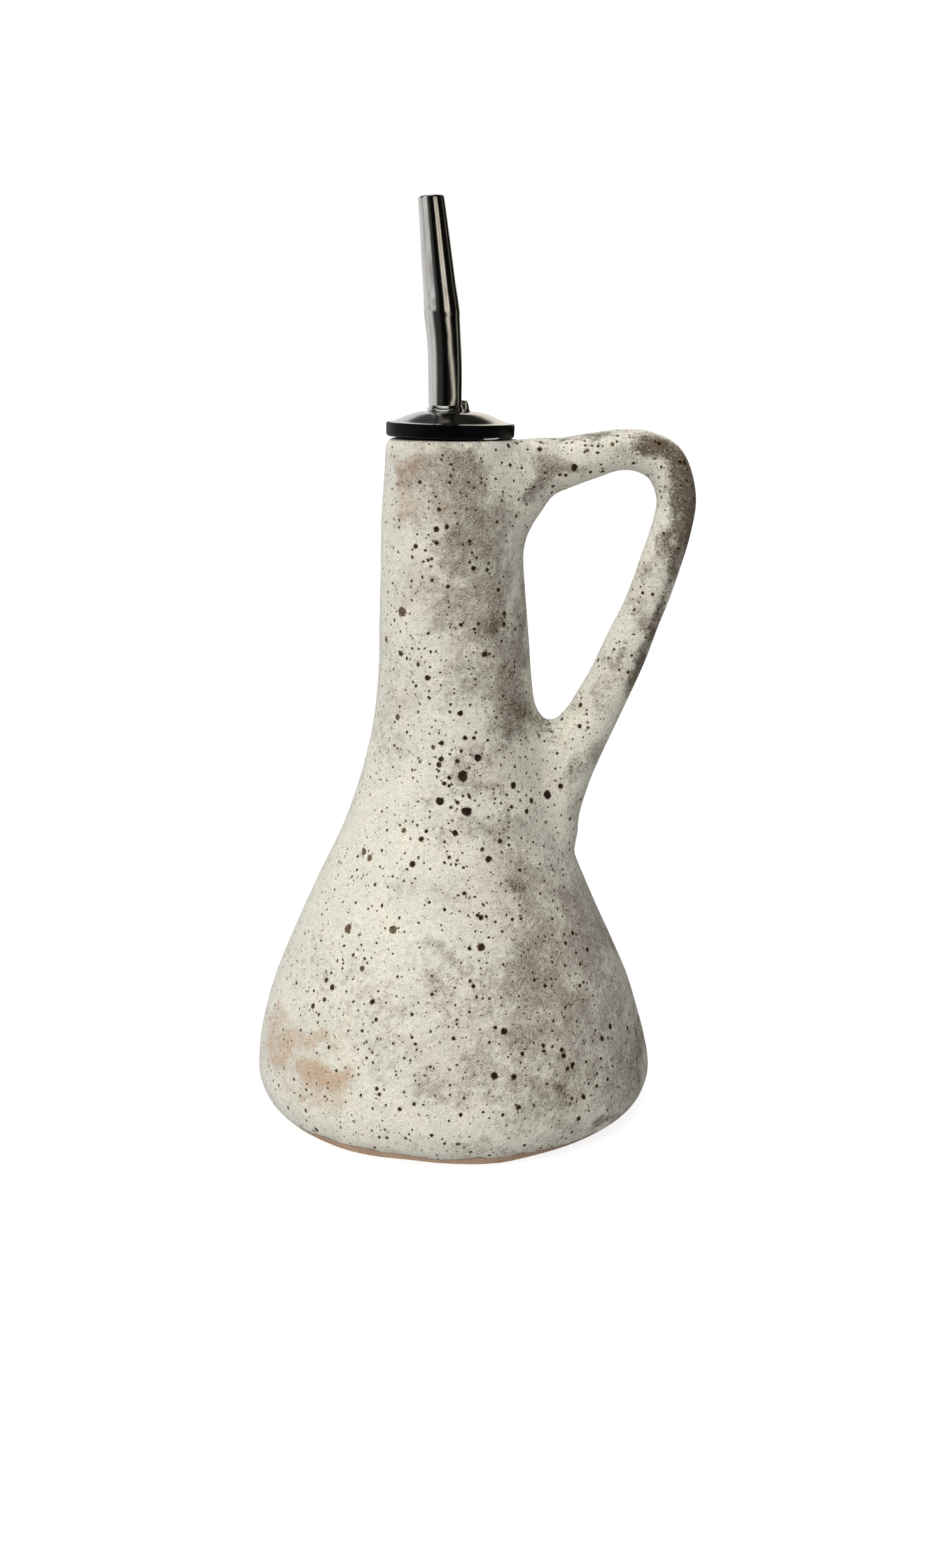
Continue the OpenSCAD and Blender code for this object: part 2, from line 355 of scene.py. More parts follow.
def add_colour(me, name, rgba):
    a = me.attributes.new(name, "FLOAT_COLOR", "POINT")
    a.data.foreach_set("color", np.asarray(rgba, np.float32).ravel())


def fillet(points, n=5):
    """Outline from corners [r, z, corner radius]: each corner is rounded with n steps."""
    p = [np.array(q[:2], float) for q in points]
    out = []
    for i, q in enumerate(points):
        rad = q[2] if len(q) > 2 else 0
        if rad <= 0 or i in (0, len(points) - 1):
            out.append(p[i])
            continue
        a, b = p[i - 1] - p[i], p[i + 1] - p[i]
        la, lb = np.linalg.norm(a), np.linalg.norm(b)
        a, b = a / la, b / lb
        ang = math.acos(max(-1, min(1, float(a @ b))))
        t = min(rad / math.tan(ang / 2), 0.49 * la, 0.49 * lb)
        s, e = p[i] + a * t, p[i] + b * t
        for k in range(n + 1):
            w = k / n
            out.append((1 - w) ** 2 * s + 2 * w * (1 - w) * p[i] + w * w * e)
    return [list(map(float, q)) for q in out]


def lathe(profile, seg, centre=(0.0, 0.0)):
    """Surface of revolution, as (verts, faces). The profile runs counter-clockwise in (r, z), from the axis back to it."""
    verts, faces, rows = [], [], []
    ang = 2 * math.pi * np.arange(seg) / seg
    for r, z in profile:
        if r < 1e-6:
            rows.append([len(verts)] * seg)
            verts.append((centre[0], centre[1], z))
        else:
            rows.append(list(range(len(verts), len(verts) + seg)))
            verts += [(centre[0] + r * math.cos(t), centre[1] + r * math.sin(t), z) for t in ang]
    for a, b in zip(rows, rows[1:]):
        for k in range(seg):
            j = (k + 1) % seg
            f = [a[k], a[j], b[j], b[k]]
            g = [x for i, x in enumerate(f) if x != f[i - 1]]
            if len(g) > 2:
                faces.append(g)
    return verts, faces


def sweep(rings):
    """Closed tube wall from rings of equal length, the last joined to the first."""
    m = len(rings[0])
    verts = [tuple(p) for ring in rings for p in ring]
    faces = []
    for i in range(len(rings)):
        j = (i + 1) % len(rings)
        for k in range(m):
            l = (k + 1) % m
            faces.append([i * m + k, i * m + l, j * m + l, j * m + k])
    return verts, faces


def cut(ob, *tools):
    """Takes the tools' solids out of ob, and removes them."""
    for t in tools:
        mod = ob.modifiers.new("cut", "BOOLEAN")
        mod.operation = "DIFFERENCE"
        mod.solver = "EXACT"
        mod.object = t
    bpy.context.view_layer.update()
    dg = bpy.context.evaluated_depsgraph_get()
    me = bpy.data.meshes.new_from_object(ob.evaluated_get(dg))
    ob.modifiers.clear()
    old = ob.data
    ob.data = me
    bpy.data.meshes.remove(old)
    for t in tools:
        d = t.data
        bpy.data.objects.remove(t)
        bpy.data.meshes.remove(d)


def rod(name, x, y, r, z0, z1, seg=64):
    v, f = lathe([(0, z0), (r, z0), (r, z1), (0, z1)], seg, (x, y))
    return make_mesh(name, v, f, smooth=False)


# ---------------------------------------------------------------- the bottle: one thrown and pulled piece
clay = Clay()
STEP = 1.17
P, Q = surface_nets(clay, (-60.47, -60.53, -2.04), (70.5, 60.5, 195.0), STEP)
P, N = settle(clay, P, Q, 4)
P[:, 2] = np.maximum(P[:, 2], 0.0)
bottle = make_mesh("bottle_shell", P, Q)

# Which points the photograph's camera faces, from 0 to 1.
VIEW = np.array([6.2, -556.0, 231.0]) - P
VIEW /= np.linalg.norm(VIEW, axis=1)[:, None]
FACING = (N * VIEW).sum(1)
U, V = to_pixels(P)
inner_d = clay.inner(np.hypot(P[:, 0], P[:, 1]), P[:, 2])
INSIDE = (np.abs(inner_d) < 1.2) & (P[:, 2] < 187.5) & (P[:, 2] > 3.0)
FRONT = smooth01(-0.34, -0.06, FACING) * (~INSIDE)


# The patches below aren't clean ovals: their outlines wander with the clay.
WANDER = np.stack([7.5 * waves(41, 18, 6, 16)(P) + 7 * waves(42, 14, 16, 34)(P), 7.5 * waves(43, 18, 6, 16)(P) + 7 * waves(44, 14, 16, 34)(P)])
WANDER = WANDER * (1 - 0.65 * smooth01(28, 36, P[:, 0]) * smooth01(84, 96, P[:, 2]))


def painted(patches, softness=0.75):
    """Amount of a tone over the bottle, from soft patches [u, v, half width, half height, turn in degrees, strength]."""
    s = np.zeros(len(P))
    for u, v, a, b, turn, amount in patches:
        c, d = math.cos(math.radians(turn)), math.sin(math.radians(turn))
        du, dv = U + WANDER[0] - u, V + WANDER[1] - v
        q = ((du * c + dv * d) / a) ** 2 + ((dv * c - du * d) / b) ** 2
        s = 1 - (1 - s) * (1 - amount * np.exp(-softness * q ** 1.2))
    return s


def scattered(seed, low, high, level, gain):
    """The same kind of patches, seeded, for the sides that the photograph doesn't show."""
    q = P * np.array([1.0, 1.0, 0.62])
    return np.clip((waves(seed, 26, low, high)(q) - level) * gain, 0, 1)


# Where the glaze runs thin it turns taupe and grainy.
TAUPE = [
    (727, 729, 27, 26, 0, .75), (700, 700, 26, 12, 0, .35), (690, 790, 20, 22, 0, .5), (752, 803, 26, 26, 0, .85), (712, 850, 24, 16, 0, .75),
    (762, 852, 30, 24, 20, .75), (720, 888, 24, 14, 0, .35), (791, 905, 11, 32, 0, .65), (698, 948, 30, 28, 0, .5), (712, 985, 20, 12, 0, .5),
    (772, 985, 22, 20, 0, .8), (816, 975, 11, 42, 0, .7), (765, 1022, 30, 28, 0, .45), (800, 1050, 24, 30, 0, .8), (738, 1068, 30, 18, 0, .55),
    (785, 1080, 30, 22, 0, .65), (812, 1105, 20, 34, 0, .85), (655, 925, 26, 24, 0, .25), (735, 930, 30, 16, 0, .3),
    (794, 1150, 27, 30, 20, .75), (847, 1142, 28, 16, -20, .65), (881, 1168, 20, 30, 40, .35), (898, 1206, 26, 12, -38, .8), (858, 1225, 18, 16, 0, .45),
    (760, 1195, 38, 26, 0, .4), (770, 1238, 34, 16, 0, .4), (788, 1300, 46, 16, 6, .65), (834, 1296, 26, 26, 0, .5), (722, 1296, 36, 20, 0, .28),
    (830, 1352, 44, 42, 0, .6), (817, 1389, 20, 16, 0, .55), (812, 1420, 24, 20, 0, .5), (872, 1362, 26, 36, 0, .5), (710, 1402, 46, 22, 0, .22),
    (835, 1455, 50, 40, 0, .38), (768, 1446, 40, 20, 0, .15), (640, 1392, 30, 14, 0, .22),
    (836, 1503, 32, 34, 0, .85), (822, 1528, 38, 34, 0, .75), (866, 1533, 22, 24, 0, .7), (856, 1560, 34, 20, 0, .7), (896, 1571, 24, 20, 0, .65),
    (798, 1560, 34, 26, 0, .55), (838, 1592, 34, 34, 0, .45), (826, 1628, 38, 26, 0, .55), (788, 1648, 42, 24, 0, .5), (750, 1572, 36, 36, 0, .35),
    (735, 1530, 24, 34, 0, .35), (686, 1552, 24, 20, 0, .55), (710, 1575, 34, 26, 0, .25), (876, 1674, 30, 22, 0, .5), (925, 1684, 26, 22, 0, .55),
    (919, 1640, 32, 30, 0, .35), (831, 1716, 22, 18, 0, .6), (873, 1721, 24, 24, 0, .75), (845, 1744, 40, 22, 0, .45), (888, 1762, 24, 14, 0, .5),
    (745, 1682, 32, 22, 0, .45), (676, 1706, 26, 24, 0, .3), (586, 1678, 24, 20, 0, .2), (600, 1645, 24, 14, 0, .22), (984, 1660, 24, 44, 0, .75),
    (948, 1600, 20, 30, 0, .35), (966, 1700, 26, 22, 0, .45), (930, 1735, 34, 18, 0, .35), (693, 1499, 20, 24, 0, .45), (660, 1492, 40, 20, 0, .1),
    (645, 1806, 20, 8, 0, .35), (714, 1810, 26, 8, 0, .4), (752, 1808, 20, 8, 0, .4), (790, 1806, 26, 8, 0, .4),
    (858, 757, 26, 14, -32, .95), (888, 746, 26, 8, -22, .8), (838, 773, 15, 10, -30, .8), (874, 728, 18, 12, 0, .5), (846, 738, 20, 16, 0, .35),
    (998, 957, 16, 20, 15, .45), (1017, 975, 14, 18, 15, .65), (989, 1014, 15, 10, 0, .55), (963, 1037, 16, 12, 20, .85), (947, 1076, 15, 16, 20, .55),
    (940, 1104, 20, 14, 20, .65), (912, 1112, 18, 12, 0, .4), (1035, 880, 16, 26, 18, .35), (1018, 892, 8, 22, 18, .6), (1042, 860, 18, 14, 0, .5),
    (735, 850, 48, 130, 0, .35), (735, 765, 22, 34, 0, .5), (688, 735, 30, 26, 0, .5), (655, 738, 24, 20, 0, .5), (770, 950, 14, 60, 0, .5),
    (765, 900, 22, 24, 0, .45), (812, 1000, 12, 40, 0, .5), (925, 1440, 30, 60, -15, .35), (905, 1505, 40, 40, 0, .45), (802, 1705, 46, 36, 0, .3),
    (820, 1765, 44, 18, 0, .3), (900, 700, 60, 8, -5, .18), (1030, 712, 20, 14, 0, .5), (985, 708, 30, 12, 0, .3), (1055, 900, 10, 30, 15, .4),
    (945, 1500, 26, 56, -20, .5), (962, 1570, 34, 40, 0, .5), (905, 1600, 26, 30, 0, .5), (893, 1432, 24, 40, -20, .4), (720, 790, 30, 50, 0, .4),
    (688, 715, 40, 14, 0, .35), (705, 868, 26, 24, 0, .45), (766, 968, 12, 44, 0, .55), (825, 955, 6, 60, 0, .6), (680, 1250, 20, 20, 0, .35),
    (786, 1280, 12, 34, 0, .3), (905, 1705, 30, 26, 0, .35), (690, 1725, 30, 24, 0, .3), (815, 1690, 16, 20, 0, .4), (612, 1165, 24, 26, 0, .22),
    (1012, 1690, 10, 40, 0, .4), (600, 1600, 60, 60, 0, .16), (480, 1500, 40, 80, 20, .14), (1058, 850, 12, 12, 0, .5), (1060, 885, 12, 16, 0, .5), (728, 752, 20, 20, 0, .45), (748, 800, 22, 18, 0, .4),
    (640, 1050, 34, 30, 0, .2), (595, 1020, 20, 60, 0, .15), (740, 1002, 50, 12, 0, .4), (800, 1010, 14, 30, 0, .5), (560, 1560, 70, 60, 0, .14),
    (750, 1722, 26, 26, 0, .35), (930, 1190, 12, 22, 35, .6), (812, 1110, 16, 20, 20, .5),
    (1016, 976, 14, 20, 10, .3), (1048, 850, 12, 20, 10, .5), (946, 1084, 16, 16, 20, .3), (1040, 925, 8, 20, 20, .3),
    (798, 800, 20, 46, 0, .45), (768, 1030, 30, 60, 0, .35), (800, 1085, 20, 40, 0, .4), (752, 962, 26, 28, 0, .35), (728, 1222, 36, 26, 0, .35),
    (745, 1320, 50, 24, 0, .2), (925, 1190, 10, 24, 35, .7), (1005, 1650, 16, 70, 0, .5), (962, 1730, 26, 18, 0, .5), (945, 1635, 20, 24, 0, .4),
    (870, 1625, 20, 20, 0, .35), (645, 740, 30, 30, 0, .35), (640, 800, 18, 40, 0, .35), (860, 735, 24, 26, 0, .3), (985, 705, 30, 12, 0, .2),
    (890, 1262, 22, 26, 0, .5), (873, 1721, 20, 20, 0, .4), (640, 1165, 60, 30, 0, .14), (700, 1095, 40, 30, 0, .2),
    (900, 735, 50, 16, -15, .35), (840, 715, 34, 20, 0, .3), (905, 1400, 20, 30, -20, .35), (880, 1790, 60, 16, -14, .3)]
# Where it is thick and pale after all.
PALE = [
    (852, 1212, 42, 34, 0, .55), (862, 1306, 24, 30, 0, .6), (874, 1350, 30, 34, 0, .4), (820, 1180, 34, 18, 0, .4), (862, 1140, 22, 12, 0, .5),
    (722, 1560, 42, 28, 0, .55), (862, 1552, 24, 15, 0, .4), (790, 1655, 18, 38, 0, .5), (725, 1412, 50, 28, 0, .4), (942, 1096, 34, 30, -30, .5),
    (965, 1012, 14, 24, 20, .5), (800, 780, 26, 60, 0, .35), (1046, 760, 9, 26, 0, .8), (1034, 780, 12, 30, 0, .9),
    (850, 795, 24, 18, -40, .6), (780, 745, 14, 30, 0, .35), (560, 1780, 90, 14, 14, .6), (832, 1156, 18, 20, 0, .5), (838, 1205, 38, 38, 0, .85), (815, 1175, 22, 34, 0, .5),
    (835, 1300, 40, 34, 0, .55), (856, 1322, 26, 22, 0, .6), (905, 1185, 20, 22, 0, .4), (770, 1685, 14, 16, 0, .5), (788, 983, 9, 12, 0, .5),
    (745, 1452, 40, 18, 0, .35), (808, 1532, 16, 22, 0, .35), (1006, 1018, 8, 14, 24, .5), (985, 1020, 12, 20, 24, .4), (1025, 850, 12, 26, 15, .8), (1036, 745, 12, 20, 0, .6), (745, 1065, 34, 26, 0, .35),
    (920, 716, 34, 16, 0, .45), (1000, 900, 8, 20, 15, .5), (905, 1120, 20, 14, 0, .4)]
# Darker iron brown, over the taupe.
BROWN = [
    (1036, 699, 26, 10, 20, .85), (1010, 704, 14, 10, 0, .6), (1056, 716, 18, 12, 40, .8), (1076, 750, 17, 40, 0, .95), (1062, 784, 20, 26, 0, .62),
    (1048, 765, 10, 18, 0, .45), (1082, 812, 9, 32, 0, .85), (1066, 835, 14, 16, 0, .55), (1040, 846, 10, 18, 0, .55), (1056, 890, 9, 26, 15, .8),
    (1033, 962, 7, 34, 22, .8), (1008, 1030, 6, 16, 24, .35), (991, 1062, 6, 28, 26, .65), (931, 684, 36, 5, 0, .6), (866, 690, 30, 6, 0, .4),
    (989, 1014, 10, 7, 0, .5), (775, 984, 13, 13, 0, .75), (797, 1051, 11, 20, 0, .6), (807, 1098, 12, 24, 0, .55), (824, 1128, 20, 12, 20, .7),
    (794, 1148, 18, 18, 0, .45), (852, 1138, 20, 10, -20, .45), (905, 1200, 18, 7, -40, .65), (817, 1389, 12, 11, 0, .6), (873, 1720, 14, 15, 0, .55),
    (836, 1500, 14, 14, 0, .3), (1000, 1645, 8, 40, 0, .6), (951, 1766, 26, 6, -24, .5), (832, 774, 8, 8, 0, .5), (711, 849, 9, 8, 0, .45),
    (858, 757, 14, 8, -32, .5), (750, 808, 12, 12, 0, .25), (1022, 697, 8, 6, 0, .3), (654, 735, 14, 14, 0, .35), (818, 990, 7, 22, 0, .35),
    (1087, 770, 9, 55, 0, 1.0), (1080, 842, 9, 34, 14, .9), (1034, 706, 18, 11, 0, .6), (1018, 1030, 4, 30, 25, .3), (1000, 1068, 5, 30, 28, .6),
    (735, 762, 10, 14, 0, .3), (768, 965, 8, 24, 0, .3), (975, 1745, 30, 6, -34, .3), (1090, 745, 9, 30, 0, .8), (1092, 800, 8, 34, 0, .9),
    (1074, 720, 14, 16, 0, .5), (1086, 770, 8, 60, 0, .9), (829, 985, 5, 30, 0, .3), (836, 1108, 6, 18, 0, .45),
    (1023, 1000, 5, 24, 24, .7), (1010, 1036, 4, 26, 24, .5), (992, 1068, 5, 26, 26, .75), (1020, 700, 26, 13, 15, .6), (1052, 722, 20, 14, 40, .5),
    (1072, 800, 16, 30, 0, .6), (1060, 850, 8, 22, 10, .25), (1048, 845, 5, 18, 10, .3), (1062, 760, 10, 30, 0, .4), (974, 1030, 8, 12, 30, .6)]
# Orange blush of thin glaze over the clay.
BLUSH = [
    (500, 1678, 25, 14, 22, .95), (516, 1694, 20, 13, 30, .75), (441, 1634, 13, 24, 0, .55), (440, 1592, 22, 14, 0, .4), (436, 1668, 14, 14, 0, .4),
    (484, 1620, 36, 10, 8, .5), (535, 1628, 18, 12, 0, .3), (472, 1717, 14, 8, 0, .45), (516, 1724, 34, 20, 10, .28), (494, 1738, 20, 8, 0, .3),
    (466, 1655, 40, 40, 0, .14), (676, 1707, 22, 20, 0, .3), (745, 1682, 22, 16, 0, .2), (655, 730, 20, 24, 0, .3), (634, 780, 16, 28, 0, .22),
    (685, 792, 14, 14, 0, .35), (600, 1142, 26, 20, 0, .14), (693, 1499, 12, 18, 0, .3), (883, 1166, 18, 22, 40, .25), (1062, 770, 12, 24, 0, .3),
    (648, 732, 26, 24, 0, .3), (634, 782, 16, 32, 0, .25), (470, 1650, 60, 60, 20, .16), (505, 1700, 46, 40, 20, .14), (700, 750, 30, 30, 0, .2)]
# Faint pinkish grey cast.
PINK = [
    (650, 745, 34, 60, 0, .7), (640, 800, 20, 40, 0, .5), (650, 925, 30, 24, 0, .5), (641, 1096, 26, 22, 0, .55), (620, 1120, 34, 26, 0, .55),
    (770, 1200, 60, 50, 0, .45), (690, 1392, 60, 26, 0, .45), (640, 1290, 60, 14, 0, .2), (820, 1360, 60, 60, 0, .6), (850, 1560, 60, 80, 0, .6),
    (760, 1640, 80, 70, 0, .5), (680, 1700, 50, 50, 0, .5), (600, 1640, 60, 30, 0, .3), (470, 1660, 60, 70, 0, .5), (900, 1650, 50, 60, 0, .6),
    (700, 960, 50, 40, 0, .5), (760, 1030, 50, 50, 0, .5), (830, 1200, 50, 40, 0, .3), (520, 1500, 40, 40, 0, .2), (1000, 930, 30, 40, 15, .5),
    (960, 1060, 30, 40, 25, .5), (880, 740, 40, 30, 0, .5), (700, 1560, 50, 60, 0, .4),
    (735, 850, 60, 130, 0, .5), (920, 1480, 60, 80, 0, .6), (800, 1420, 80, 80, 0, .4), (600, 1560, 60, 60, 0, .3)]
# Where iron spots crowd.
DOTS = [
    (700, 1200, 90, 110, 0, .8), (620, 1150, 50, 50, 0, .6), (790, 1260, 70, 70, 0, .6), (650, 1030, 60, 120, 0, .5), (740, 920, 70, 90, 0, .45),
    (880, 1510, 60, 70, 0, .75), (840, 1640, 80, 60, 0, .5), (930, 1480, 30, 60, 0, .5), (520, 1520, 50, 60, 0, .5), (640, 1370, 70, 50, 0, .45),
    (850, 770, 50, 24, -30, .5), (830, 1130, 40, 30, 0, .7), (950, 720, 60, 20, 0, .3)]

# How high the bare clay shows over the edge of the foot.
FOOT = [
    (452, 1765, 34, 70, 0, .42), (508, 1790, 36, 70, 0, .58), (565, 1805, 40, 70, 0, .60), (630, 1815, 38, 70, 0, .58),
    (690, 1820, 34, 70, 0, .40), (745, 1822, 34, 70, 0, .50), (800, 1820, 30, 70, 0, .52), (850, 1812, 32, 70, 0, .46),
    (905, 1794, 32, 70, 0, .50), (958, 1765, 30, 70, 0, .52)]

thin = FRONT * painted(TAUPE) * (1 - painted(PALE)) + (1 - FRONT) * scattered(31, 24, 90, -.15, .40)
iron = FRONT * painted(BROWN) * (1 - 0.8 * painted(PALE)) + (1 - FRONT) * scattered(32, 14, 44, 1.35, .55)
blush = FRONT * painted(BLUSH) + (1 - FRONT) * scattered(33, 22, 44, 1.35, 1.0) * smooth01(150, 20, P[:, 2])
pink = FRONT * painted(PINK) + (1 - FRONT) * scattered(34, 30, 60, -.1, .55)
dots = FRONT * painted(DOTS) + (1 - FRONT) * scattered(35, 30, 60, -.2, .6)
# The handle's outer face, where the hand smoothed the glaze off, is thin on both sides.
on_strap, arc = clay.strap(P)
handle = np.clip(1 - np.abs(on_strap) / 1.5, 0, 1) * (P[:, 0] > 24) * (P[:, 2] > 90)
outer_side = smooth01(0.0, 0.8, N[:, 0] * 0.8 + N[:, 2] * 0.5) * handle
behind = (1 - FRONT) * outer_side
iron = np.clip(iron + behind * (0.35 + 0.45 * smooth01(105, 130, P[:, 2]) + 0.3 * waves(36, 16, 10, 24)(P)), 0, 1)
thin = np.clip(thin + behind * 0.5, 0, 1)
foot_h = FRONT * painted(FOOT) + (1 - FRONT) * np.clip(0.55 + 0.3 * waves(37, 14, 14, 40)(P), 0, 1)
for a in (thin, iron, blush, pink, dots):
    a[INSIDE] *= 0.25
add_colour(bottle.data, "tones", np.stack([thin, iron, blush, pink], 1))
add_colour(bottle.data, "extra", np.stack([dots, INSIDE.astype(float), handle, foot_h], 1))

# ---------------------------------------------------------------- the larger iron spots
# [u, v, width in pixels, kind]: kind 0 is a bare dark spot, 1 a brown one veiled by glaze.
SPOTS = [
    (727, 1220, 17, 0), (691, 1259, 13, 0), (733, 1275, 15, 0), (751, 1191, 12, 0), (693, 1193, 8, 0), (690, 1202, 9, 0), (719, 1196, 7, 0),
    (694, 1168, 8, 0), (706, 1222, 6, 0), (698, 1231, 6, 0), (706, 1235, 5, 0), (731, 1160, 7, 0), (745, 1160, 6, 0), (681, 1174, 6, 1),
    (719, 1261, 6, 0), (738, 1252, 5, 0), (807, 1234, 11, 0), (860, 1249, 14, 0), (881, 1236, 9, 0), (835, 1258, 9, 0), (828, 1275, 8, 0),
    (804, 1268, 6, 0), (715, 1309, 9, 0), (786, 1322, 8, 0), (768, 1350, 10, 0), (758, 1335, 6, 0), (648, 1358, 10, 0), (662, 1319, 8, 0),
    (670, 1306, 6, 0), (635, 1305, 7, 1), (572, 1339, 10, 1), (581, 1348, 10, 1), (706, 1347, 6, 0), (730, 1404, 7, 0), (751, 1438, 6, 0),
    (756, 1442, 8, 0), (764, 1440, 5, 0), (817, 1367, 5, 0), (617, 1461, 13, 1), (547, 1459, 14, 1), (756, 1488, 12, 0), (738, 1490, 6, 0),
    (805, 1445, 5, 0), (900, 1466, 7, 0), (889, 1482, 6, 0), (923, 1492, 8, 0), (912, 1515, 5, 0), (857, 1549, 6, 0), (911, 1549, 6, 0),
    (569, 1522, 8, 1), (513, 1540, 8, 0), (522, 1552, 9, 0), (466, 1545, 6, 0), (555, 1501, 6, 1), (492, 1581, 8, 0), (510, 1571, 7, 0),
    (585, 1574, 9, 0), (591, 1602, 6, 0), (569, 1620, 5, 0), (517, 1646, 6, 0), (653, 1641, 5, 0), (713, 1632, 6, 0), (744, 1550, 6, 0),
    (792, 1621, 11, 0), (779, 1615, 6, 0), (777, 1691, 12, 0), (808, 1692, 9, 0), (854, 1643, 7, 0), (855, 1652, 6, 0), (883, 1650, 8, 0),
    (886, 1659, 8, 0), (900, 1673, 8, 0), (892, 1679, 7, 0), (821, 1656, 7, 0), (946, 1632, 9, 0), (959, 1613, 9, 0), (986, 1615, 6, 0),
    (955, 1696, 6, 0), (938, 1707, 6, 0), (917, 1724, 9, 0), (899, 1726, 6, 0), (909, 1758, 8, 0), (815, 1740, 7, 0), (790, 1752, 5, 0),
    (724, 1752, 6, 0), (592, 1711, 6, 0), (596, 1720, 6, 0), (628, 1743, 6, 0), (651, 1735, 5, 0), (453, 1741, 6, 0), (462, 1696, 5, 0),
    (497, 1775, 9, 0), (608, 1788, 5, 1), (720, 1798, 6, 1),
    (632, 961, 16, 1), (607, 1005, 10, 1), (630, 1027, 8, 0), (672, 1065, 9, 0), (657, 1044, 6, 0), (762, 1028, 10, 0), (752, 980, 6, 0),
    (793, 964, 7, 0), (792, 981, 8, 0), (783, 927, 6, 0), (724, 982, 6, 0), (704, 922, 6, 0), (744, 893, 8, 0), (766, 896, 6, 0),
    (738, 851, 6, 0), (686, 853, 7, 0), (653, 859, 8, 0), (686, 832, 9, 0), (702, 828, 8, 0), (690, 801, 6, 0), (660, 757, 6, 0),
    (679, 912, 5, 0), (625, 1127, 9, 1), (723, 1121, 8, 0), (654, 1078, 5, 0), (811, 811, 5, 0), (745, 767, 4, 0), (781, 820, 5, 0),
    (848, 706, 8, 0), (799, 700, 8, 0), (811, 696, 8, 0), (802, 731, 6, 0), (903, 735, 11, 0), (880, 746, 5, 0), (860, 1120, 5, 0),
    (833, 1120, 6, 0), (912, 1108, 7, 0), (940, 1037, 7, 0), (883, 1130, 6, 0), (911, 1141, 6, 0), (1036, 697, 8, 0), (1030, 694, 5, 0),
    (1069, 726, 7, 0), (1076, 727, 9, 0), (1090, 783, 6, 0), (1066, 862, 5, 0), (996, 728, 5, 0), (963, 698, 5, 1), (923, 708, 5, 1),
    (1010, 932, 5, 0), (1026, 934, 5, 0), (993, 1030, 4, 0), (987, 1056, 5, 0), (889, 747, 5, 0), (947, 741, 6, 0), (928, 742, 5, 0)]

tree = BVHTree.FromPolygons([Vector(p) for p in P.tolist()], [tuple(map(int, q)) for q in Q])
spots = []
for u, v, width, kind in SPOTS:
    hit = tree.ray_cast(Vector(EYE), pixel_ray(u, v))
    if hit[0] is None:
        continue
    depth = (hit[0].y - EYE[1]) * math.cos(PITCH) - (hit[0].z - EYE[2]) * math.sin(PITCH)
    spots.append((np.array(hit[0]), 0.5 * width * depth / FOCAL * 0.94, kind))
rng = np.random.RandomState(7)
hidden = np.nonzero((FACING < -0.10) & (~INSIDE) & (P[:, 2] > 4) & (P[:, 2] < 188))[0]
for i in rng.choice(hidden, 150, replace=False):
    size = 0.42 + 1.1 * rng.rand() ** 3.2
    spots.append((P[i], size, 1 if rng.rand() < 0.2 else 0))
CHANNELS, APART, REACH = 7, 7.4, 3.4
layers = [[] for _ in range(CHANNELS)]
spots.sort(key=lambda s: -s[1])
left_out = 0
for s in spots:
    for layer in layers:
        if all(np.linalg.norm(s[0] - t[0]) > APART for t in layer):
            layer.append(s)
            break
    else:
        left_out += 1
print("spots", len(spots), "left out", left_out, "per layer", [len(a) for a in layers])
for i, layer in enumerate(layers):
    best = np.full(len(P), 1e9)
    data = np.zeros((len(P), 4))
    for c, r, kind in layer:
        d = ((P - c) ** 2).sum(1)
        m = d < best
        best[m] = d[m]
        data[m, :3] = c
        data[m, 3] = -r if kind else r
    data[best > REACH ** 2, 3] = 0
    data[INSIDE, 3] = 0
    add_colour(bottle.data, f"spots{i}", data)

# ---------------------------------------------------------------- the pourer
FZ, CZ = 190.3, 194.15         # underside of the flange, and the top of its edge
DX = -0.5                      # the flange sits a little to the left of the neck's axis
SX = -1.9                      # where the tube stands, left of the neck's axis
VX, VY = 3.4, 3.8              # where the vent stands


def tilted(verts, deg=1.3, about=192.0, lift=0.12):
    """The flange sits a little lower on the handle's side and at the back."""
    a = math.radians(deg)
    v = np.array(verts, float)
    x, z = v[:, 0].copy(), v[:, 2] - about
    w = smooth01(180, 190, v[:, 2])
    v[:, 0] = x + w * (z * math.sin(a) + DX)
    v[:, 2] = about + z + w * (-x * math.sin(a) - 0.030 * v[:, 1] + lift)
    return v


prof = [[0, FZ - 27, 0], [8.2, FZ - 27, 0.8]]
for k in range(4):
    z0 = FZ - 27 + 0.5 + k * 21.5 / 3
    prof += [[8.2, z0 + 0.1, 0.3], [10.65, z0 + 2.3, 0.45], [10.7, z0 + 2.95, 0.35], [8.25, z0 + 3.2, 0.3]]
prof += [[8.2, FZ + 0.05, 0.5], [17.35, FZ + 0.05, 1.0], [17.45, CZ - 0.02, 0.75], [16.3, CZ, 0.3], [14.0, CZ + 0.05, 0], [12.0, CZ + 0.5, 0], [0, CZ + 1.6, 0]]
SEG = 96
v, f = lathe(fillet(prof), SEG)
stopper = make_mesh("stopper_moulding", tilted(v), f)
cut(stopper, rod("t1", SX, 0, 4.64, 155, 205), rod("t2", VX, VY, 1.43, 155, 205, 32))

# Pressed steel disc: a shallow dome that turns up into a collar round the tube.
dome = spline([0, 4, 7.4, 8.6, 10.0, 11.6, 13.7, 15.3, 15.75, 16.2, 16.6, 16.95],
              [197.12, 197.12, 197.08, 196.98, 196.60, 196.0, 195.12, 194.42, 194.28, 194.22, 194.17, 194.08])
rings = 40
th = 2 * math.pi * np.arange(SEG) / SEG
verts, rows = [], []


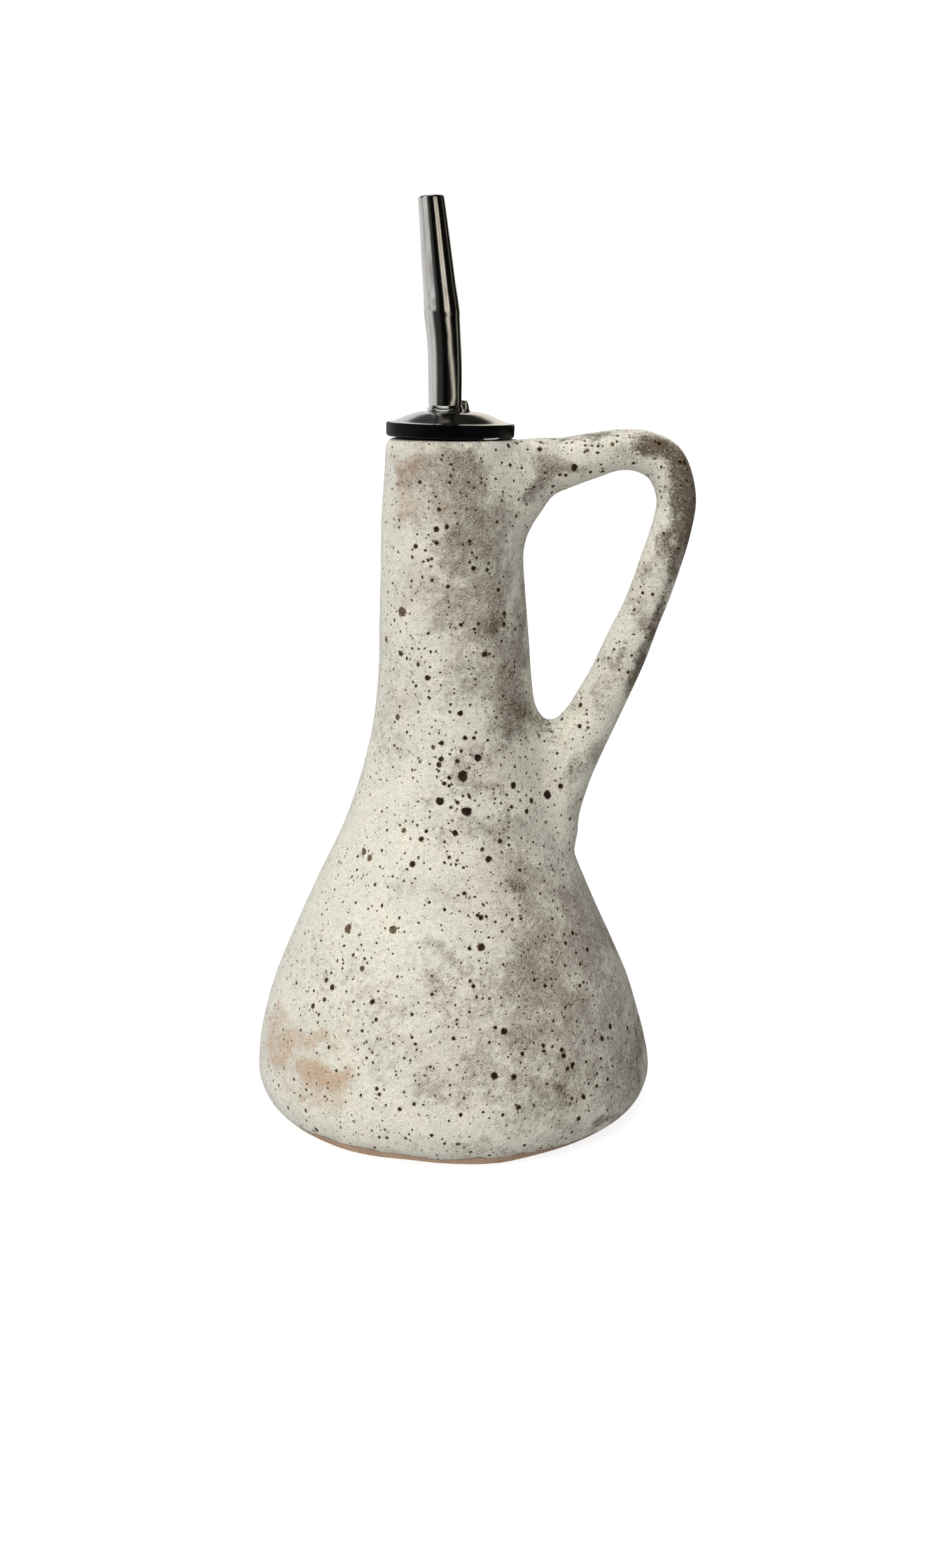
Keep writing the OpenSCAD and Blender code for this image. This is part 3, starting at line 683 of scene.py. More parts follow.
def cap_ring(share, under):
    """Points of the cap at a share of the way from the tube to the rim, on its top or under it."""
    c, s = np.cos(th), np.sin(th)
    # Distance from the tube's axis to the rim circle in each direction.
    sx = SX - DX
    b = sx * c
    far = -b + np.sqrt(b * b + 16.95 ** 2 - sx ** 2)
    r = 4.62 + share * (far - 4.62)
    x, y = sx + r * c, r * s
    rc = np.hypot(x, y)
    z = dome(rc) + 0.88 * np.exp(-((r - 4.62) / 0.43) ** 2)
    if under:
        z = z - 0.45
    return np.stack([x, y, z], 1)


shares = [0, .007, .014, .021, .028, .036, .045, .056, .07, .09, .12, .17, .23, .3, .38, .46, .54, .62, .7, .77, .83, .865, .89, .91, .93, .955, .98, .993, 1.0]
loops = [cap_ring(s, False) for s in shares]
edge = cap_ring(1.0, False)
out1, out2 = edge.copy(), edge.copy()
n2 = edge[:, :2] / np.linalg.norm(edge[:, :2], axis=1)[:, None]
out1[:, :2] += n2 * 0.12
out1[:, 2] -= 0.12
out2[:, :2] += n2 * 0.12
out2[:, 2] -= 0.30
loops += [out1, out2] + [cap_ring(s, True) for s in shares[::-1]]
v, f = sweep([loop.tolist() for loop in loops])
cap = make_mesh("cap_disc", tilted(v), [q[::-1] for q in f])
cut(cap, rod("t3", VX, VY, 1.43, 180, 210, 32))

# Spout: drawn tube with a slight set at its bend.
tz = [162.3, 195.5, 197.6, 200.3, 205.5, 210.9, 214, 216.3, 218.9, 221.6, 224.2, 226.9, 229.2, 237.3, 244.4, 249.8, 253.4]
tx = [SX, SX, SX, SX, -1.86, -1.9, -1.98, -2.1, -2.28, -2.5, -2.69, -2.9, -3.13, -3.93, -4.6, -5.12, -5.5]
tr = [4.45, 4.45, 4.45, 4.45, 4.48, 4.49, 4.48, 4.5, 4.58, 4.69, 4.73, 4.62, 4.46, 4.18, 3.9, 3.68, 3.52]
px, pr = spline(tz, tx), spline(tz, tr)
zs = np.concatenate([np.linspace(162.3, 195.0, 12), np.concatenate([np.linspace(195.6, 197.8, 6), np.linspace(197.86, 199.1, 18), np.linspace(199.3, 200.3, 4)]), np.linspace(200.8, 216, 18), np.linspace(216.5, 230, 34), np.linspace(230.8, 252.8, 26)])


def tube_ring(z, r, flat=1.0, m=96):
    """Ring of the spout's wall at a height, square to the tube's line."""
    y = lambda q: 0.066 * (min(max(0.0, q - 200.5), 22.5) ** 2 / 45.0 + max(0.0, q - 223.0)) - 0.6 * min(max(0.0, q - 200.5), 22.5) / 22.5
    c = np.array([float(px(z)), y(z), z])
    d = np.array([float(px(z + 0.6) - px(z - 0.6)), y(z + 0.6) - y(z - 0.6), 1.2])
    d /= np.linalg.norm(d)
    u = np.cross([0, 1, 0], d)
    u /= np.linalg.norm(u)
    w = np.cross(d, u)
    t = 2 * math.pi * np.arange(m) / m
    return c + np.outer(np.cos(t), u) * r + np.outer(np.sin(t), w) * r * flat


def tube_r(z):
    r = float(pr(z))
    # Bead above the collar: a flare that ends in a sharp undercut.
    r += 0.50 * min(1.0, max(0.0, (199.0 - z) / 0.85)) ** 0.8 * float(smooth01(197.88, 198.04, z))
    r += 0.07 * math.exp(-((z - 223.6) / 1.1) ** 2)            # set of the bend
    flat = 1 - 0.02 * math.exp(-((z - 223.5) / 3.2) ** 2)
    return r, flat


outer = [tube_ring(z, *tube_r(z)) for z in zs]
tip = [tube_ring(253.0, 3.535), tube_ring(253.2, 3.5), tube_ring(253.33, 3.42), tube_ring(253.4, 3.3), tube_ring(253.4, 3.18), tube_ring(253.3, 3.08), tube_ring(253.1, 3.02)]
wall = [tube_ring(z, tube_r(z)[0] - 0.55) for z in zs[::-1] if abs(z - 198.45) > 0.75]
v, f = sweep([r.tolist() for r in outer + tip + wall])
tube = make_mesh("spout_tube_drawn", v, f)

# Vent: a thin tube whose end is cut on a slant.
m = 40
t = 2 * math.pi * np.arange(m) / m


def vent_ring(r, z, slant=0.0, drop=0.0):
    return np.stack([VX + r * np.cos(t), VY + r * np.sin(t), z - slant * (np.cos(t) * r + 1.2) - drop * np.maximum(np.cos(t), 0) ** 5], 1)


vent_loops = [vent_ring(1.4, z) for z in (153.3, 170, 188, 195.6, 196.4)]
vent_loops += [vent_ring(1.46, 196.6), vent_ring(1.52, 196.9), vent_ring(1.5, 197.2), vent_ring(1.28, 197.45), vent_ring(1.2, 197.7)]
vent_loops += [vent_ring(1.17, 199.75, 0.10, 1.5), vent_ring(1.12, 199.98, 0.10, 1.5), vent_ring(1.0, 200.08, 0.10, 1.5), vent_ring(0.84, 200.02, 0.10, 1.5), vent_ring(0.78, 199.85, 0.10, 1.5), vent_ring(0.75, 197.5), vent_ring(0.75, 153.3)]
v, f = sweep([r.tolist() for r in vent_loops])
vent = make_mesh("vent_tube_cut", v, f)
for ob in (stopper, cap, tube, vent):
    me = ob.data
    me.polygons.foreach_set("use_smooth", [True] * len(me.polygons))

for ob, node, body, slot in ((bottle, "bottle", "bottle", "glazed_stoneware"), (stopper, "stopper", "pourer", "black_stopper"),
                             (cap, "flange_cap", "pourer", "steel_cap"), (tube, "spout_tube", "pourer", "steel_tube"),
                             (vent, "vent_tube", "pourer", "steel_vent")):
    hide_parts(node)
    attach(ob, body)


# ---------------------------------------------------------------- materials
class Net:
    """Short names for the nodes of one material or world."""

    def __init__(self, owner):
        owner.use_nodes = True
        self.t = owner.node_tree
        self.t.nodes.clear()

    def node(self, kind, **props):
        n = self.t.nodes.new(kind)
        for k, val in props.items():
            setattr(n, k, val)
        return n

    def put(self, socket, value):
        if value is None:
            return
        if isinstance(value, bpy.types.NodeSocket):
            self.t.links.new(value, socket)
        else:
            if socket.type == "RGBA" and len(value) == 3:
                value = (*value, 1.0)
            socket.default_value = value

    def math(self, op, a, b=None, c=None, clamp=False):
        n = self.node("ShaderNodeMath", operation=op, use_clamp=clamp)
        for s, x in zip(n.inputs, (a, b, c)):
            self.put(s, x)
        return n.outputs[0]

    def add(self, a, b): return self.math("ADD", a, b)
    def sub(self, a, b): return self.math("SUBTRACT", a, b)
    def mul(self, a, b): return self.math("MULTIPLY", a, b)
    def lim(self, a): return self.math("ADD", a, 0.0, clamp=True)

    def vec(self, op, a, b=None, scale=None):
        n = self.node("ShaderNodeVectorMath", operation=op)
        self.put(n.inputs[0], a)
        if b is not None:
            self.put(n.inputs[1], b)
        if scale is not None:
            self.put(n.inputs["Scale"], scale)
        return n.outputs["Value"] if op in ("LENGTH", "DISTANCE", "DOT_PRODUCT") else n.outputs["Vector"]

    def step(self, x, a, b, lo=0.0, hi=1.0):
        n = self.node("ShaderNodeMapRange", interpolation_type="SMOOTHSTEP")
        for s, val in zip(n.inputs, (x, a, b, lo, hi)):
            self.put(s, val)
        return n.outputs[0]

    def line(self, x, a, b, lo=0.0, hi=1.0):
        n = self.node("ShaderNodeMapRange", interpolation_type="LINEAR")
        for s, val in zip(n.inputs, (x, a, b, lo, hi)):
            self.put(s, val)
        return n.outputs[0]

    def noise(self, p, scale, detail=2.0, rough=0.5, distort=0.0, colour=False):
        n = self.node("ShaderNodeTexNoise", noise_dimensions="3D")
        self.put(n.inputs["Vector"], p)
        self.put(n.inputs["Scale"], scale)
        self.put(n.inputs["Detail"], detail)
        self.put(n.inputs["Roughness"], rough)
        self.put(n.inputs["Distortion"], distort)
        return n.outputs["Color"] if colour else n.outputs[0]

    def cells(self, p, scale, random=1.0):
        n = self.node("ShaderNodeTexVoronoi", voronoi_dimensions="3D", feature="F1")
        self.put(n.inputs["Vector"], p)
        self.put(n.inputs["Scale"], scale)
        self.put(n.inputs["Randomness"], random)
        return n.outputs["Distance"], n.outputs["Color"]

    def mix(self, f, a, b, blend="MIX"):
        n = self.node("ShaderNodeMix", data_type="RGBA", blend_type=blend, clamp_factor=True)
        self.put(n.inputs[0], f)
        self.put(n.inputs[6], a)
        self.put(n.inputs[7], b)
        return n.outputs[2]

    def split(self, c):
        n = self.node("ShaderNodeSeparateXYZ")
        self.put(n.inputs[0], c)
        return n.outputs[0], n.outputs[1], n.outputs[2]

    def attribute(self, name):
        n = self.node("ShaderNodeAttribute", attribute_name=name, attribute_type="GEOMETRY")
        return n.outputs["Color"], n.outputs["Alpha"]

    def place(self):
        """Position on the piece in millimetres."""
        return self.vec("SCALE", self.node("ShaderNodeTexCoord").outputs["Object"], scale=1000.0)

    def bump(self, height, strength, distance, normal=None):
        n = self.node("ShaderNodeBump")
        self.put(n.inputs["Strength"], strength)
        self.put(n.inputs["Distance"], distance)
        self.put(n.inputs["Height"], height)
        if normal is not None:
            self.put(n.inputs["Normal"], normal)
        return n.outputs[0]

    def shader(self, **sockets):
        n = self.node("ShaderNodeBsdfPrincipled")
        for k, val in sockets.items():
            self.put(n.inputs[k.replace("_", " ")], val)
        out = self.node("ShaderNodeOutputMaterial")
        self.t.links.new(n.outputs[0], out.inputs["Surface"])
        return n


def glaze_material():
    mat = bpy.data.materials.new("speckled_glaze")
    n = Net(mat)
    p = n.place()
    x, y, z = n.split(p)
    tones, pink = n.attribute("tones")
    thin, iron, blush = n.split(tones)
    extra, foot_h = n.attribute("extra")
    dots, inside, handle = n.split(extra)

    mid = n.noise(p, 0.21, 4.0, 0.62)
    small = n.noise(n.vec("ADD", p, (9.0, 3.0, 5.0)), 0.60, 3.0, 0.6)
    fine = n.noise(p, 1.45, 3.0, 0.65)
    grain = n.noise(p, 3.3, 2.0, 0.6)
    cloud = n.noise(n.vec("ADD", p, (31.0, 7.0, 11.0)), 0.10, 4.0, 0.6)
    m, s, f, g = (n.sub(q, 0.5) for q in (mid, small, fine, grain))
    wob = n.vec("SUBTRACT", n.noise(p, 0.9, 2.0, 0.6, colour=True), (0.5, 0.5, 0.5))
    ps = n.vec("ADD", p, n.vec("SCALE", wob, scale=0.75))
    wob4 = n.vec("SUBTRACT", n.noise(n.vec("ADD", p, (2.0, 9.0, 1.0)), 2.3, 1.0, 0.5, colour=True), (0.5, 0.5, 0.5))
    ps = n.vec("ADD", ps, n.vec("SCALE", wob4, scale=0.30))

    def broken(amount, km, ks, kf, a, b, edge=0.17):
        """A tone's soft patches, broken up at three scales."""
        q = n.add(amount, n.add(n.mul(m, km), n.add(n.mul(s, ks), n.mul(f, kf))))
        return n.mul(n.step(q, a, b), n.step(amount, 0.0, edge))

    # Light crumbs of undissolved glaze: small cells, some of them raised and pale.
    crumb_d, crumb_c = n.cells(ps, 1.28)
    cr, cg, cb = n.split(crumb_c)
    crumb = n.mul(n.step(n.sub(crumb_d, n.mul(cg, 0.10)), 0.27, 0.13), n.step(cr, 0.50, 0.56))

    # Base: cream, leaning to celadon where it is thick, with faint clouds.
    base = n.mix(n.step(cloud, 0.36, 0.64), (0.829, 0.785, 0.674), (0.756, 0.748, 0.640))
    pk = broken(pink, 1.1, 0.8, 0.4, 0.05, 0.95)
    base = n.mix(n.mul(pk, 0.85), base, (0.64, 0.575, 0.505))
    base = n.mix(n.step(small, 0.42, 0.72, 0.0, 0.38), base, (0.60, 0.58, 0.50))

    # Taupe where the glaze is thin, broken into grains.
    t = broken(thin, 1.0, 0.9, 0.8, 0.06, 1.08)
    col = n.mix(n.mul(t, 0.88), base, (0.405, 0.348, 0.288))
    grains = n.step(n.add(n.add(grain, n.mul(f, 0.4)), n.mul(t, 0.05)), 0.545, 0.63)
    col = n.mix(n.mul(grains, n.mul(t, 0.86)), col, (0.145, 0.104, 0.072))

    # Orange blush.
    b = broken(blush, 0.7, 0.9, 1.1, -0.05, 1.15, 0.55)
    col = n.mix(n.mul(b, 0.90), col, (0.775, 0.53, 0.335))
    col = n.mix(n.mul(n.step(n.add(grain, n.mul(f, 0.4)), 0.50, 0.64), n.mul(b, 0.62)), col, (0.44, 0.24, 0.11))

    # Iron brown.
    i = broken(iron, 1.1, 1.0, 0.9, 0.08, 0.88)
    col = n.mix(n.mul(i, 0.92), col, (0.140, 0.096, 0.060))
    col = n.mix(n.mul(n.step(n.add(grain, n.mul(f, 0.5)), 0.50, 0.64), n.mul(i, 0.72)), col, (0.060, 0.039, 0.024))

    either = n.math("MAXIMUM", t, n.math("MAXIMUM", n.mul(i, 0.95), n.mul(b, 0.95)))
    either = n.math("MAXIMUM", either, n.mul(pk, 0.35))
    ring = n.mul(n.mul(n.step(crumb_d, 0.46, 0.30), n.step(crumb_d, 0.20, 0.30)), n.step(cr, 0.50, 0.56))
    col = n.mix(n.mul(ring, n.mul(either, 0.30)), col, (0.16, 0.12, 0.085))
    crumb_col = n.mix(n.mul(i, 0.45), (0.90, 0.855, 0.745), (0.62, 0.52, 0.38))
    crumb_col = n.mix(n.mul(b, 0.8), crumb_col, (0.86, 0.76, 0.58))
    col = n.mix(n.mul(crumb, n.mul(either, 0.84)), col, crumb_col)
    # Finer sand between them.
    sand_d, sand_c = n.cells(ps, 2.5)
    s1, s2, s3 = n.split(sand_c)
    sand = n.mul(n.step(sand_d, 0.40, 0.24), n.step(s1, 0.52, 0.58))
    col = n.mix(n.mul(sand, n.add(n.mul(either, 0.62), 0.07)), col, crumb_col)
    soot = n.mul(n.step(sand_d, 0.40, 0.22), n.step(s2, 0.66, 0.70))
    col = n.mix(n.mul(soot, n.add(n.mul(either, 0.42), 0.10)), col, (0.13, 0.095, 0.062))

    # Grain over everything.
    tooth = n.add(1.0, n.add(n.mul(g, 1.15), n.add(n.mul(f, 0.38), n.mul(m, 0.16))))
    col = n.mix(1.0, col, tooth, "MULTIPLY")

    # Fine pepper everywhere, then spots of two sizes.
    pd, pc = n.cells(ps, 1.0)
    pr, pg, pb = n.split(pc)
    pepper = n.mul(n.step(n.sub(pd, n.mul(pr, 0.16)), 0.155, 0.075), n.step(pg, 0.42, 0.46))
    col = n.mix(n.mul(pepper, n.add(n.add(0.36, n.step(x, -20.0, 25.0, 0.0, 0.16)), n.mul(pb, 0.48))), col, (0.135, 0.086, 0.048))
    sd, sc = n.cells(n.vec("ADD", ps, (5.3, 2.1, 9.7)), 0.58)
    sr, sg, sb = n.split(sc)
    radius = n.add(0.110, n.mul(n.math("POWER", sr, 1.6), 0.145))
    keep = n.step(n.add(sg, n.mul(dots, 0.40)), 0.40, 0.43)
    small_dot = n.mul(n.step(n.sub(sd, radius), 0.028, -0.022), keep)
    halo = n.mul(n.step(n.sub(sd, radius), 0.11, 0.0), keep)
    ld, lc = n.cells(n.vec("ADD", ps, (1.7, 8.9, 3.3)), 0.235)
    lr, lg, lb = n.split(lc)
    radius2 = n.add(0.045, n.mul(n.math("POWER", lr, 2.0), 0.065))
    keep2 = n.step(n.add(lg, n.mul(dots, 0.3)), 0.44, 0.47)
    small2 = n.mul(n.step(n.sub(ld, radius2), 0.018, -0.014), keep2)
    halo2 = n.mul(n.step(n.sub(ld, radius2), 0.045, 0.0), keep2)

    # The larger spots: each vertex knows the nearest one's middle and size.
    wob2 = n.vec("SUBTRACT", n.noise(n.vec("ADD", p, (3.0, 1.0, 4.0)), 0.75, 3.0, 0.7, colour=True), (0.5, 0.5, 0.5))
    wob3 = n.vec("SUBTRACT", n.noise(n.vec("ADD", p, (6.0, 2.0, 8.0)), 2.1, 2.0, 0.6, colour=True), (0.5, 0.5, 0.5))
    core = rim = veil = None
    for k in range(CHANNELS):
        c, r = n.attribute(f"spots{k}")
        size = n.math("ABSOLUTE", r)
        q = n.vec("ADD", p, n.vec("SCALE", wob2, scale=n.add(0.30, n.mul(size, 0.85))))
        q = n.vec("ADD", q, n.vec("SCALE", wob3, scale=n.add(0.10, n.mul(size, 0.62))))
        d = n.sub(n.vec("DISTANCE", q, c), size)
        on = n.step(size, 0.02, 0.10)
        is_core = n.mul(n.step(d, 0.05, -0.09), on)
        is_rim = n.mul(n.step(d, 0.32, 0.04), on)
        is_veil = n.mul(n.math("LESS_THAN", r, -0.05), is_core)
        core = is_core if core is None else n.math("MAXIMUM", core, is_core)
        rim = is_rim if rim is None else n.math("MAXIMUM", rim, is_rim)
        veil = is_veil if veil is None else n.math("MAXIMUM", veil, is_veil)

    # Bare clay at the foot, under the glaze's uneven edge.
    foot = n.noise(p, 0.17, 4.0, 0.62)
    line = n.add(n.mul(foot_h, 6.0), n.add(n.mul(n.sub(foot, 0.5), 2.6), n.mul(m, 1.6)))
    over = n.sub(z, n.math("MAXIMUM", line, 0.45))
    bare = n.step(over, 0.22, -0.10)
    toe = n.mul(n.step(over, 2.8, 0.1), n.step(n.add(foot, n.mul(thin, 0.4)), 0.34, 0.62))
    col = n.mix(n.mul(toe, 0.50), col, (0.38, 0.31, 0.245))
    col = n.mix(n.mul(n.step(over, 0.75, 0.12), 0.55), col, (0.25, 0.175, 0.115))

    halos = n.math("MAXIMUM", n.mul(halo, 0.60), n.mul(halo2, 0.70))
    halos = n.math("MAXIMUM", halos, n.mul(rim, 0.85))
    out = n.sub(1.0, n.mul(bare, 0.8))
    col = n.mix(n.mul(n.mul(halos, out), n.step(fine, 0.30, 0.55, 0.6, 1.0)), col, (0.33, 0.205, 0.098))
    dark = n.mix(n.step(n.add(grain, n.mul(s, 0.6)), 0.44, 0.66), (0.007, 0.0045, 0.003), (0.060, 0.034, 0.017))
    col = n.mix(n.mul(n.math("MAXIMUM", n.mul(small_dot, n.add(0.84, n.mul(sb, 0.15))), n.mul(small2, 0.97)), out), col, n.mix(0.22, dark, (0.075, 0.042, 0.018)))
    col = n.mix(n.mul(core, out), col, dark)
    col = n.mix(n.mul(veil, n.step(fine, 0.40, 0.62, 0.85, 0.25)), col, n.mix(n.step(grain, 0.40, 0.62), (0.27, 0.20, 0.135), (0.12, 0.072, 0.04)))

    clay_col = n.mix(n.step(mid, 0.35, 0.65), (0.70, 0.455, 0.29), (0.54, 0.34, 0.21))
    clay_col = n.mix(n.step(grain, 0.48, 0.68, 0.0, 0.6), clay_col, (0.24, 0.14, 0.08))
    clay_col = n.mix(n.mul(crumb, 0.75), clay_col, (0.80, 0.66, 0.50))
    # Painted shade: the bare clay is darkened towards +X, the right side, which is turned away from the key light.
    clay_col = n.mix(n.step(x, 0.0, 38.0, 0.0, 0.80), clay_col, (0.17, 0.12, 0.08))
    col = n.mix(bare, col, clay_col)

    spot = n.math("MAXIMUM", core, n.math("MAXIMUM", small_dot, small2))
    rough = n.add(0.31, n.mul(f, 0.30))
    rough = n.add(rough, n.add(n.mul(t, 0.14), n.mul(bare, 0.45)))
    rough = n.add(rough, n.mul(spot, 0.06))

    height = n.add(n.mul(n.add(n.mul(fine, 0.8), n.mul(grain, 0.75)), n.add(0.55, n.mul(either, 0.85))), n.mul(small, 0.7))
    height = n.add(height, n.mul(crumb, n.add(0.06, n.mul(either, 0.22))))
    height = n.sub(height, n.mul(spot, 0.35))
    height = n.add(height, n.mul(n.sub(1.0, bare), 1.6))
    normal = n.bump(height, 1.0, 0.00042)
    sh = n.shader(Base_Color=col, Roughness=n.lim(rough), Normal=normal)
    sh.inputs["IOR"].default_value = 1.5
    sh.inputs["Specular IOR Level"].default_value = 0.42
    return mat


def rubber_material():
    mat = bpy.data.materials.new("black_moulding")
    n = Net(mat)
    p = n.place()
    soft = n.noise(p, 0.35, 3.0, 0.6)
    fine = n.noise(p, 5.0, 2.0, 0.6)
    col = n.mix(soft, (0.0010, 0.0011, 0.0016), (0.0026, 0.0027, 0.0036))
    dust = n.step(n.noise(n.vec("ADD", p, (4.0, 4.0, 4.0)), 2.2, 3.0, 0.7), 0.66, 0.80)
    col = n.mix(n.mul(dust, 0.25), col, (0.020, 0.020, 0.023))
    # Painted highlight: a pale crescent painted on the flange's lower edge, at the front, standing in for a glint of
    # light.
    x, y, z = n.split(p)
    across = n.mul(n.sub(x, 10.5), 0.47)
    low = n.add(n.mul(n.mul(across, across), 0.30), 190.58)
    smear_and_painted_glint = n.mul(n.step(n.sub(z, low), -0.05, 0.05), n.mul(n.step(z, 191.12, 191.02), n.step(n.math("ABSOLUTE", across), 1.0, 0.9)))
    smear_and_painted_glint = n.mul(smear_and_painted_glint, n.step(y, -8.0, -9.0))
    # The pale colour mixed in here is a painted glint, not a mark on the rubber.
    col = n.mix(smear_and_painted_glint, col, (0.92, 0.92, 0.94))
    rough = n.add(0.38, n.mul(n.sub(soft, 0.5), 0.25))
    sh = n.shader(Base_Color=col, Roughness=n.add(rough, n.mul(dust, 0.15)), Normal=n.bump(fine, 0.35, 0.00003))
    sh.inputs["Specular IOR Level"].default_value = 0.08
    return mat


def steel_material(name, colour, rough, drawn, tint=(0.50, 0.47, 0.42)):
    """Polished stainless with fine marks; drawn stretches them along Z."""
    mat = bpy.data.materials.new(name)
    n = Net(mat)
    p = n.place()
    lines = n.noise(n.vec("MULTIPLY", p, drawn), 1.0, 4.0, 0.7)
    pits = n.noise(p, 4.2, 3.0, 0.7)
    smear_and_painted_glint = n.noise(n.vec("MULTIPLY", p, (0.6, 0.6, 0.12)), 1.0, 3.0, 0.6)
    col = n.mix(n.step(smear_and_painted_glint, 0.3, 0.75, 0.0, 0.6), colour, tint)
    r = n.add(rough, n.add(n.mul(n.sub(lines, 0.5), 0.12), n.mul(n.sub(smear_and_painted_glint, 0.5), 0.08)))
    h = n.add(n.mul(lines, 0.5), n.mul(pits, 0.9))
    s = n.shader(Base_Color=col, Roughness=n.lim(r), Normal=n.bump(h, 0.40, 0.00003))
    s.inputs["Metallic"].default_value = 1.0
    return mat


glaze = glaze_material()
bottle.data.materials.append(glaze)
stopper.data.materials.clear()
stopper.data.materials.append(rubber_material())
tube.data.materials.append(steel_material("steel_tube", (0.66, 0.64, 0.60), 0.095, (3.5, 3.5, 0.18)))
cap.data.materials.clear()
cap.data.materials.append(steel_material("steel_pressed", (0.62, 0.61, 0.585), 0.13, (2.4, 2.4, 2.4), (0.50, 0.48, 0.43)))
vent.data.materials.append(steel_material("steel_vent", (0.56, 0.54, 0.50), 0.18, (3.5, 3.5, 0.3)))

# ---------------------------------------------------------------- floor, light and surroundings
floor_mesh = bpy.data.meshes.new("floor")
floor_mesh.from_pydata([(-6, -6, -0.0002), (6, -6, -0.0002), (6, 6, -0.0002), (-6, 6, -0.0002)], [], [(0, 1, 2, 3)])
floor = bpy.data.objects.new("floor", floor_mesh)
scene.collection.objects.link(floor)
fm = bpy.data.materials.new("pale_floor")
fn = Net(fm)
fs = fn.shader(Base_Color=(0.32, 0.32, 0.32), Roughness=0.9)
fs.inputs["Specular IOR Level"].default_value = 0.0
fs.inputs["Emission Color"].default_value = (1.0, 1.0, 1.0, 1.0)
fs.inputs["Emission Strength"].default_value = 0.84
floor_mesh.materials.append(fm)
floor.visible_diffuse = False
floor.visible_glossy = False

world = bpy.data.worlds.new("studio")
scene.world = world
w = Net(world)
direction = w.node("ShaderNodeTexCoord").outputs["Generated"]
dx, dy, dz = w.split(direction)
azimuth = w.mul(w.math("ARCTAN2", dx, w.mul(dy, -1.0)), 57.29578)      # 0 behind the camera, negative to the left
level = w.mul(w.math("ARCSINE", dz), 57.29578)                          # height above the horizon
# Tall window that wraps from the left round to the back, with one mullion.
upper = w.step(level, 3.8, 6.0)                                          # what the spout shows above its bend
lower = w.sub(1.0, upper)
edge_at = w.add(azimuth, w.add(40.0, w.mul(lower, 24.0)))
shoulder = w.step(edge_at, w.add(30.0, w.mul(lower, 30.0)), w.add(16.0, w.mul(lower, 20.0)))
window = w.add(w.mul(w.step(edge_at, w.add(8.0, w.mul(lower, 6.0)), w.sub(-5.0, w.mul(lower, 5.0))), 0.93), w.mul(shoulder, w.sub(0.07, w.mul(lower, 0.02))))
window = w.mul(window, w.step(level, 46.0, 22.0))
mullion = w.mul(w.step(w.math("ABSOLUTE", w.add(azimuth, 90.0)), 15.0, 9.0), w.add(w.mul(upper, 0.86), 0.08))
window = w.mul(window, w.sub(1.0, mullion))
window = w.mul(window, w.step(azimuth, -166.0, -150.0))
# Pale wall low down at the back.
round_back = w.step(w.math("ABSOLUTE", azimuth), 140.0, 158.0)
back = w.mul(round_back, w.mul(w.step(level, 29.0, 25.0), w.step(level, -2.0, 1.0)))
back = w.mul(back, w.line(dx, -0.12, 0.12, 0.78, 0.95))
back = w.add(back, w.mul(w.mul(round_back, w.step(level, 66.0, 50.0)), w.line(dx, -0.18, 0.14, 0.065, 0.008)))
# Narrow strips of light at the right, which lean as they rise.
strip_at = w.add(azimuth, w.mul(w.math("MINIMUM", level, 2.6), 3.9))
strip = w.mul(w.step(strip_at, w.add(28.0, w.mul(lower, 4.0)), w.add(32.0, w.mul(lower, 4.0))),
              w.step(strip_at, w.sub(65.0, w.mul(lower, 9.0)), w.sub(59.0, w.mul(lower, 9.0))))
strip = w.mul(strip, w.sub(1.0, w.mul(w.mul(w.step(w.math("ABSOLUTE", w.sub(strip_at, 44.5)), 5.0, 2.0), upper), 0.62)))
strips = w.mul(w.mul(strip, w.add(0.86, w.mul(upper, 0.12))), w.mul(w.step(level, 22.0, 16.0), w.step(level, -15.0, -10.0)))
slim = w.mul(w.mul(w.step(azimuth, 98.0, 103.0), w.step(azimuth, 118.0, 112.0)), w.add(0.10, w.mul(lower, 0.12)))
